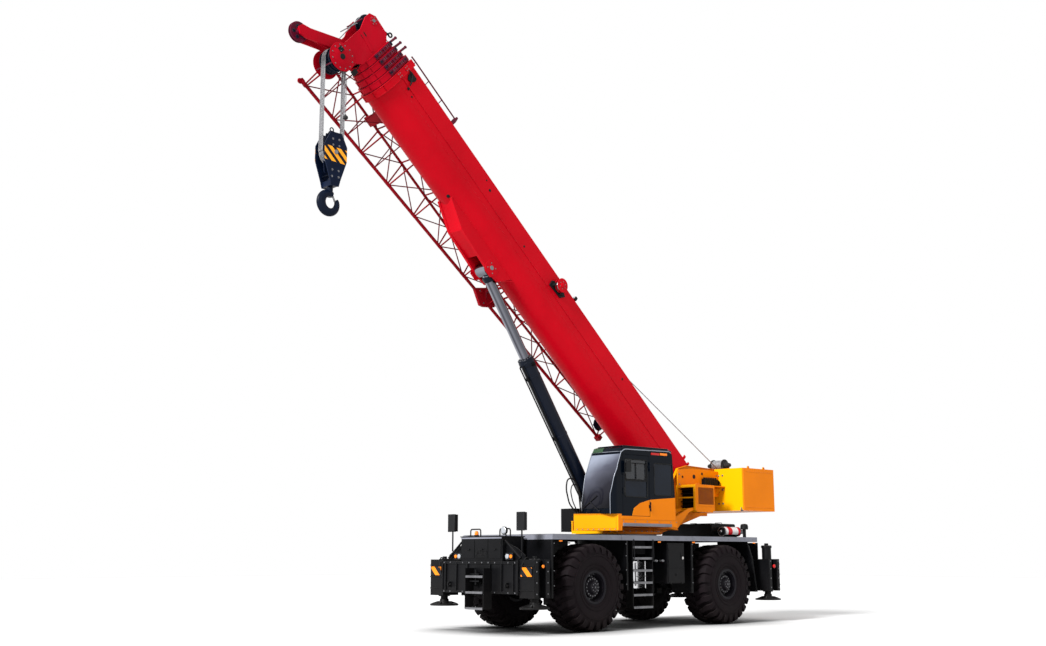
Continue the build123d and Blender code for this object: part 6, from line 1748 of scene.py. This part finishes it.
la.rod(a - Vector((0.034, 0, 0)), a + Vector((0.034, 0, 0)), 0.012, 14)
la.lathe(b, (0, -0.4, -1), [(-0.012, 0.0), (-0.012, 0.020), (0.012, 0.022), (0.018, 0.012), (0.018, 0.0)], 18)
la.torus(a, (1, 0, 0), 0.018, 0.004, 18, 6)
la.done()

# ------------------------------------------------------------------ lattice jib
A0, A1 = (12.9, -0.95, -1.14), (1.9, -0.95, -0.30)
B0, BM, B1 = (12.9, -1.15, -0.12), (8.0, -1.15, -0.12), (1.8, -1.10, 0.16)
C0, CM, C1 = (12.9, -0.62, -0.12), (8.0, -0.62, -0.12), (1.9, -0.74, 0.14)


def lerp(p, q, u):
    return tuple(p[k] + (q[k] - p[k]) * u for k in range(3))


def chord(which, u):
    if which == "a":
        return lerp(A0, A1, u)
    c0, cm, c1 = (B0, BM, B1) if which == "b" else (C0, CM, C1)
    x = A0[0] + (A1[0] - A0[0]) * u
    return lerp(c0, cm, (x - c0[0]) / (cm[0] - c0[0])) if x >= cm[0] else lerp(cm, c1, (x - cm[0]) / (c1[0] - cm[0]))


jl = Part("jib_lacing", "boom", LACERED, BOOM)
jw = Part("jib_nodes", "boom", JIBRED, BOOM)
for k in range(12):
    u0, u1 = 0.007 + 0.986 * k / 12, 0.007 + 0.986 * (k + 1) / 12
    pairs = (("a", "b"), ("c", "a"), ("b", "c")) if k % 2 == 0 else (("b", "a"), ("a", "c"), ("c", "b"))
    for p, q in pairs:
        jl.rod(B(*chord(p, u0 + 0.003)), B(*chord(q, u1 - 0.003)), 0.013, 8)
    if k < 3:
        for p, q in (("b", "a"), ("c", "a")):
            um = (u0 + u1) / 2
            jl.rod(B(*chord(p, um)), B(*chord(q, um)), 0.013, 8)
for k in range(13):
    u = 0.007 + 0.986 * k / 12
    for w, r in (("a", 0.038), ("b", 0.032), ("c", 0.032)):
        p, q = Vector(B(*chord(w, max(0, u - 0.006)))), Vector(B(*chord(w, min(1, u + 0.006))))
        jw.rod(p, q, r, 14)
jl.done()
jw.done()
je = Part("jib_end_fittings", "boom", JIBRED, BOOM, bevel=0.003)
for (p, r) in ((A0, 0.046), (B0, 0.040), (C0, 0.040)):
    at_ = Vector(B(*p))
    je.lathe(at_ + Vector((0, -0.02, 0)), (0, 1, 0), [(0, r * 0.9), (0.01, r), (0.13, r), (0.15, r * 0.8)], 24)
    je.prism([(-p[0] - 0.075, p[2] - 0.06), (-p[0] - 0.085, p[2] - 0.02), (-p[0] - 0.06, p[2] + 0.04), (-p[0] + 0.02, p[2] + 0.045), (-p[0] + 0.02, p[2] - 0.055)], "yz", p[1] - 0.030, p[1] + 0.030)
je.torus(B(12.945, -0.95, -1.185), (1, 0, 0), 0.042, 0.018, 28, 8)
je.prism([(-7.00, -0.70), (-6.72, -0.36), (-6.36, -0.46), (-6.30, -0.56), (-6.52, -0.80), (-6.62, -0.86)], "yz", -0.985, -0.915)
je.rod(B(6.72, -0.94, -0.50), B(6.55, -0.60, -0.20), 0.030, 12)
je.rod(B(6.40, -0.94, -0.55), B(6.25, -0.60, -0.10), 0.022, 12)
je.box(-1.19, -0.56, -11.42, -11.18, -0.205, -0.15)
je.prism([(-11.46, -0.16), (-11.46, -0.05), (-11.10, -0.05), (-11.10, -0.16), (-11.20, -0.24), (-11.36, -0.24)], "yz", -0.600, -0.575)
je.box(-1.02, -0.88, -1.98, -1.86, -0.36, -0.24)
je.done()
jt = Part("jib_tip_sheave", "boom", NAVY2, BOOM, bevel=0.001)
jt.lathe(B(2.15, -0.92, -0.08), (1, 0, 0), [(-0.018, 0.030), (-0.018, 0.150), (-0.012, 0.158), (0.0, 0.140), (0.012, 0.158), (0.018, 0.150), (0.018, 0.030), (-0.018, 0.030)], 44)
jt.rod(B(2.15, -1.08, -0.08), B(2.15, -0.75, -0.08), 0.024, 16)
jt.done()
jb = Part("jib_bolts", "boom", STEEL, BOOM)
for y, z in ((-6.84, -0.62), (-6.66, -0.46), (-6.44, -0.52), (-6.58, -0.74)):
    jb.bolt((-0.915, y, z), (1, 0, 0), 0.014, 0.014)
    jb.bolt((-0.985, y, z), (-1, 0, 0), 0.014, 0.014)
for xb in (6.9, 11.3):
    for dx in (-0.03, 0.03):
        jb.bolt(B(xb + dx, -0.49, -0.04), (0, 0, 1), 0.012, 0.012)
jb.done()

# ------------------------------------------------------------------ lift cylinder
EYE, FOOT = Vector((0.0, -4.1838, 7.6407)), Vector((0.0, -0.64, 2.33))
CU = (FOOT - EYE).normalized()
CS = Vector((1, 0, 0))
CN = CU.cross(CS).normalized()
if CN.y > 0:
    CN = -CN


def oncyl(d, out=0.0, lat=0.0):
    return EYE + CU * d + CN * out + CS * lat


cg = Part("cylinder_gland", "cylinder_barrel", NAVY, bevel=0.002)
cg.lathe(oncyl(2.176), CU, [(0, 0.112), (0, 0.168), (0.010, 0.178), (0.030, 0.180), (0.036, 0.172), (0.060, 0.172), (0.066, 0.184), (0.120, 0.184), (0.128, 0.172), (0.156, 0.170), (0.160, 0.166), (0.160, 0.112), (0, 0.112)], 56)
cg.lathe(oncyl(6.02), CU, [(0, 0.1655), (0.006, 0.172), (0.090, 0.172), (0.098, 0.1655), (0, 0.1655)], 56)
for d in (2.60, 4.10, 5.60):
    cg.lathe(oncyl(d), CU, [(0, 0.1645), (0.0, 0.171), (0.045, 0.171), (0.045, 0.1645), (0, 0.1645)], 56)
cg.done()
cb_ = Part("cylinder_bolts", "cylinder_barrel", STEEL)
cb_.bolts(oncyl(2.176), -CU, 0.150, 16, 0.010, 0.012)
for s in (-1, 1):
    cb_.lathe(FOOT + CS * 0.188 * s, CS * s, [(0, 0.075), (0.010, 0.073), (0.012, 0.030), (0.012, 0.0)], 32)
    cb_.bolts(FOOT + CS * 0.190 * s, CS * s, 0.125, 8, 0.009, 0.010)
cb_.done()
cp = Part("cylinder_pipes", "cylinder_barrel", CHASSIS)
for lat in (-0.045, 0.045):
    cp.pipe([oncyl(2.30, 0.172, lat), oncyl(2.30, 0.215, lat), oncyl(2.42, 0.215, lat), oncyl(5.75, 0.200, lat), oncyl(5.90, 0.200, lat), oncyl(5.90, 0.165, lat)], 0.016, 10, round_=0.05)
for d in (2.62, 4.12, 5.62):
    cp.lathe(oncyl(d, 0.180), CN, [(-0.014, 0.060), (0.020, 0.060), (0.024, 0.050), (0.024, 0.0)], 4)
cp.lathe(oncyl(2.34, 0.0, 0.170), CS, [(0, 0.050), (0.030, 0.048), (0.034, 0.026), (0.060, 0.024), (0.062, 0.0)], 24)
cp.lathe(oncyl(5.88, 0.150), CN, [(0, 0.085), (0.060, 0.083), (0.064, 0.060), (0.10, 0.058), (0.102, 0.0)], 8)
cp.done()
re = Part("rod_eye_details", "cylinder_rod", NAVY, bevel=0.002)
for s in (-1, 1):
    re.lathe(EYE + CS * 0.146 * s, CS * s, [(0, 0.150), (0.008, 0.146), (0.010, 0.080)], 48)
re.lathe(oncyl(0.150), CU, [(0, 0.112), (0.0, 0.132), (0.05, 0.134), (0.12, 0.124), (0.13, 0.111), (0, 0.112)], 48)
re.done()
rg = Part("rod_eye_bolts", "cylinder_rod", STEEL)
for s in (-1, 1):
    rg.bolts(EYE + CS * 0.154 * s, CS * s, 0.115, 8, 0.009, 0.010)
rg.lathe(oncyl(-0.150), -CU, [(0, 0.010), (0.014, 0.009), (0.018, 0.005), (0.026, 0.005), (0.027, 0.0)], 12)
rg.done()

# ------------------------------------------------------------------ floor
fm = bpy.data.materials.new("floor_pale")
fm.use_nodes = True
t = fm.node_tree
b = t.nodes["Principled BSDF"]
tc = node(t, "ShaderNodeTexCoord").outputs["Object"]
pale = ramp(t, noise(t, tc, 0.4, 3, 0.5), [(0.3, (0.60, 0.60, 0.60)), (0.7, (0.63, 0.63, 0.63))])
# painted shadow: darker where the machine stands close over it, from ambient occlusion
painted_shadow_ao = node(t, "ShaderNodeAmbientOcclusion")
painted_shadow_ao.samples = 24
painted_shadow_ao.inputs["Distance"].default_value = 1.9
t.links.new(mix(t, maprange(t, painted_shadow_ao.outputs["AO"], 0.30, 0.88, 0.0, 1.0), (0.012, 0.012, 0.012), pale), b.inputs["Base Color"])
t.links.new(maprange(t, noise(t, tc, 3.0, 3, 0.5), 0.3, 0.7, 0.75, 0.85), b.inputs["Roughness"])
b.inputs["Specular IOR Level"].default_value = 0.1
me = bpy.data.meshes.new("studio_floor")
me.from_pydata([(-60, -60, 0), (60, -60, 0), (60, 60, 0), (-60, 60, 0)], [], [(0, 1, 2, 3)])
me.materials.append(fm)
floor = bpy.data.objects.new("studio_floor", me)
scene.collection.objects.link(floor)
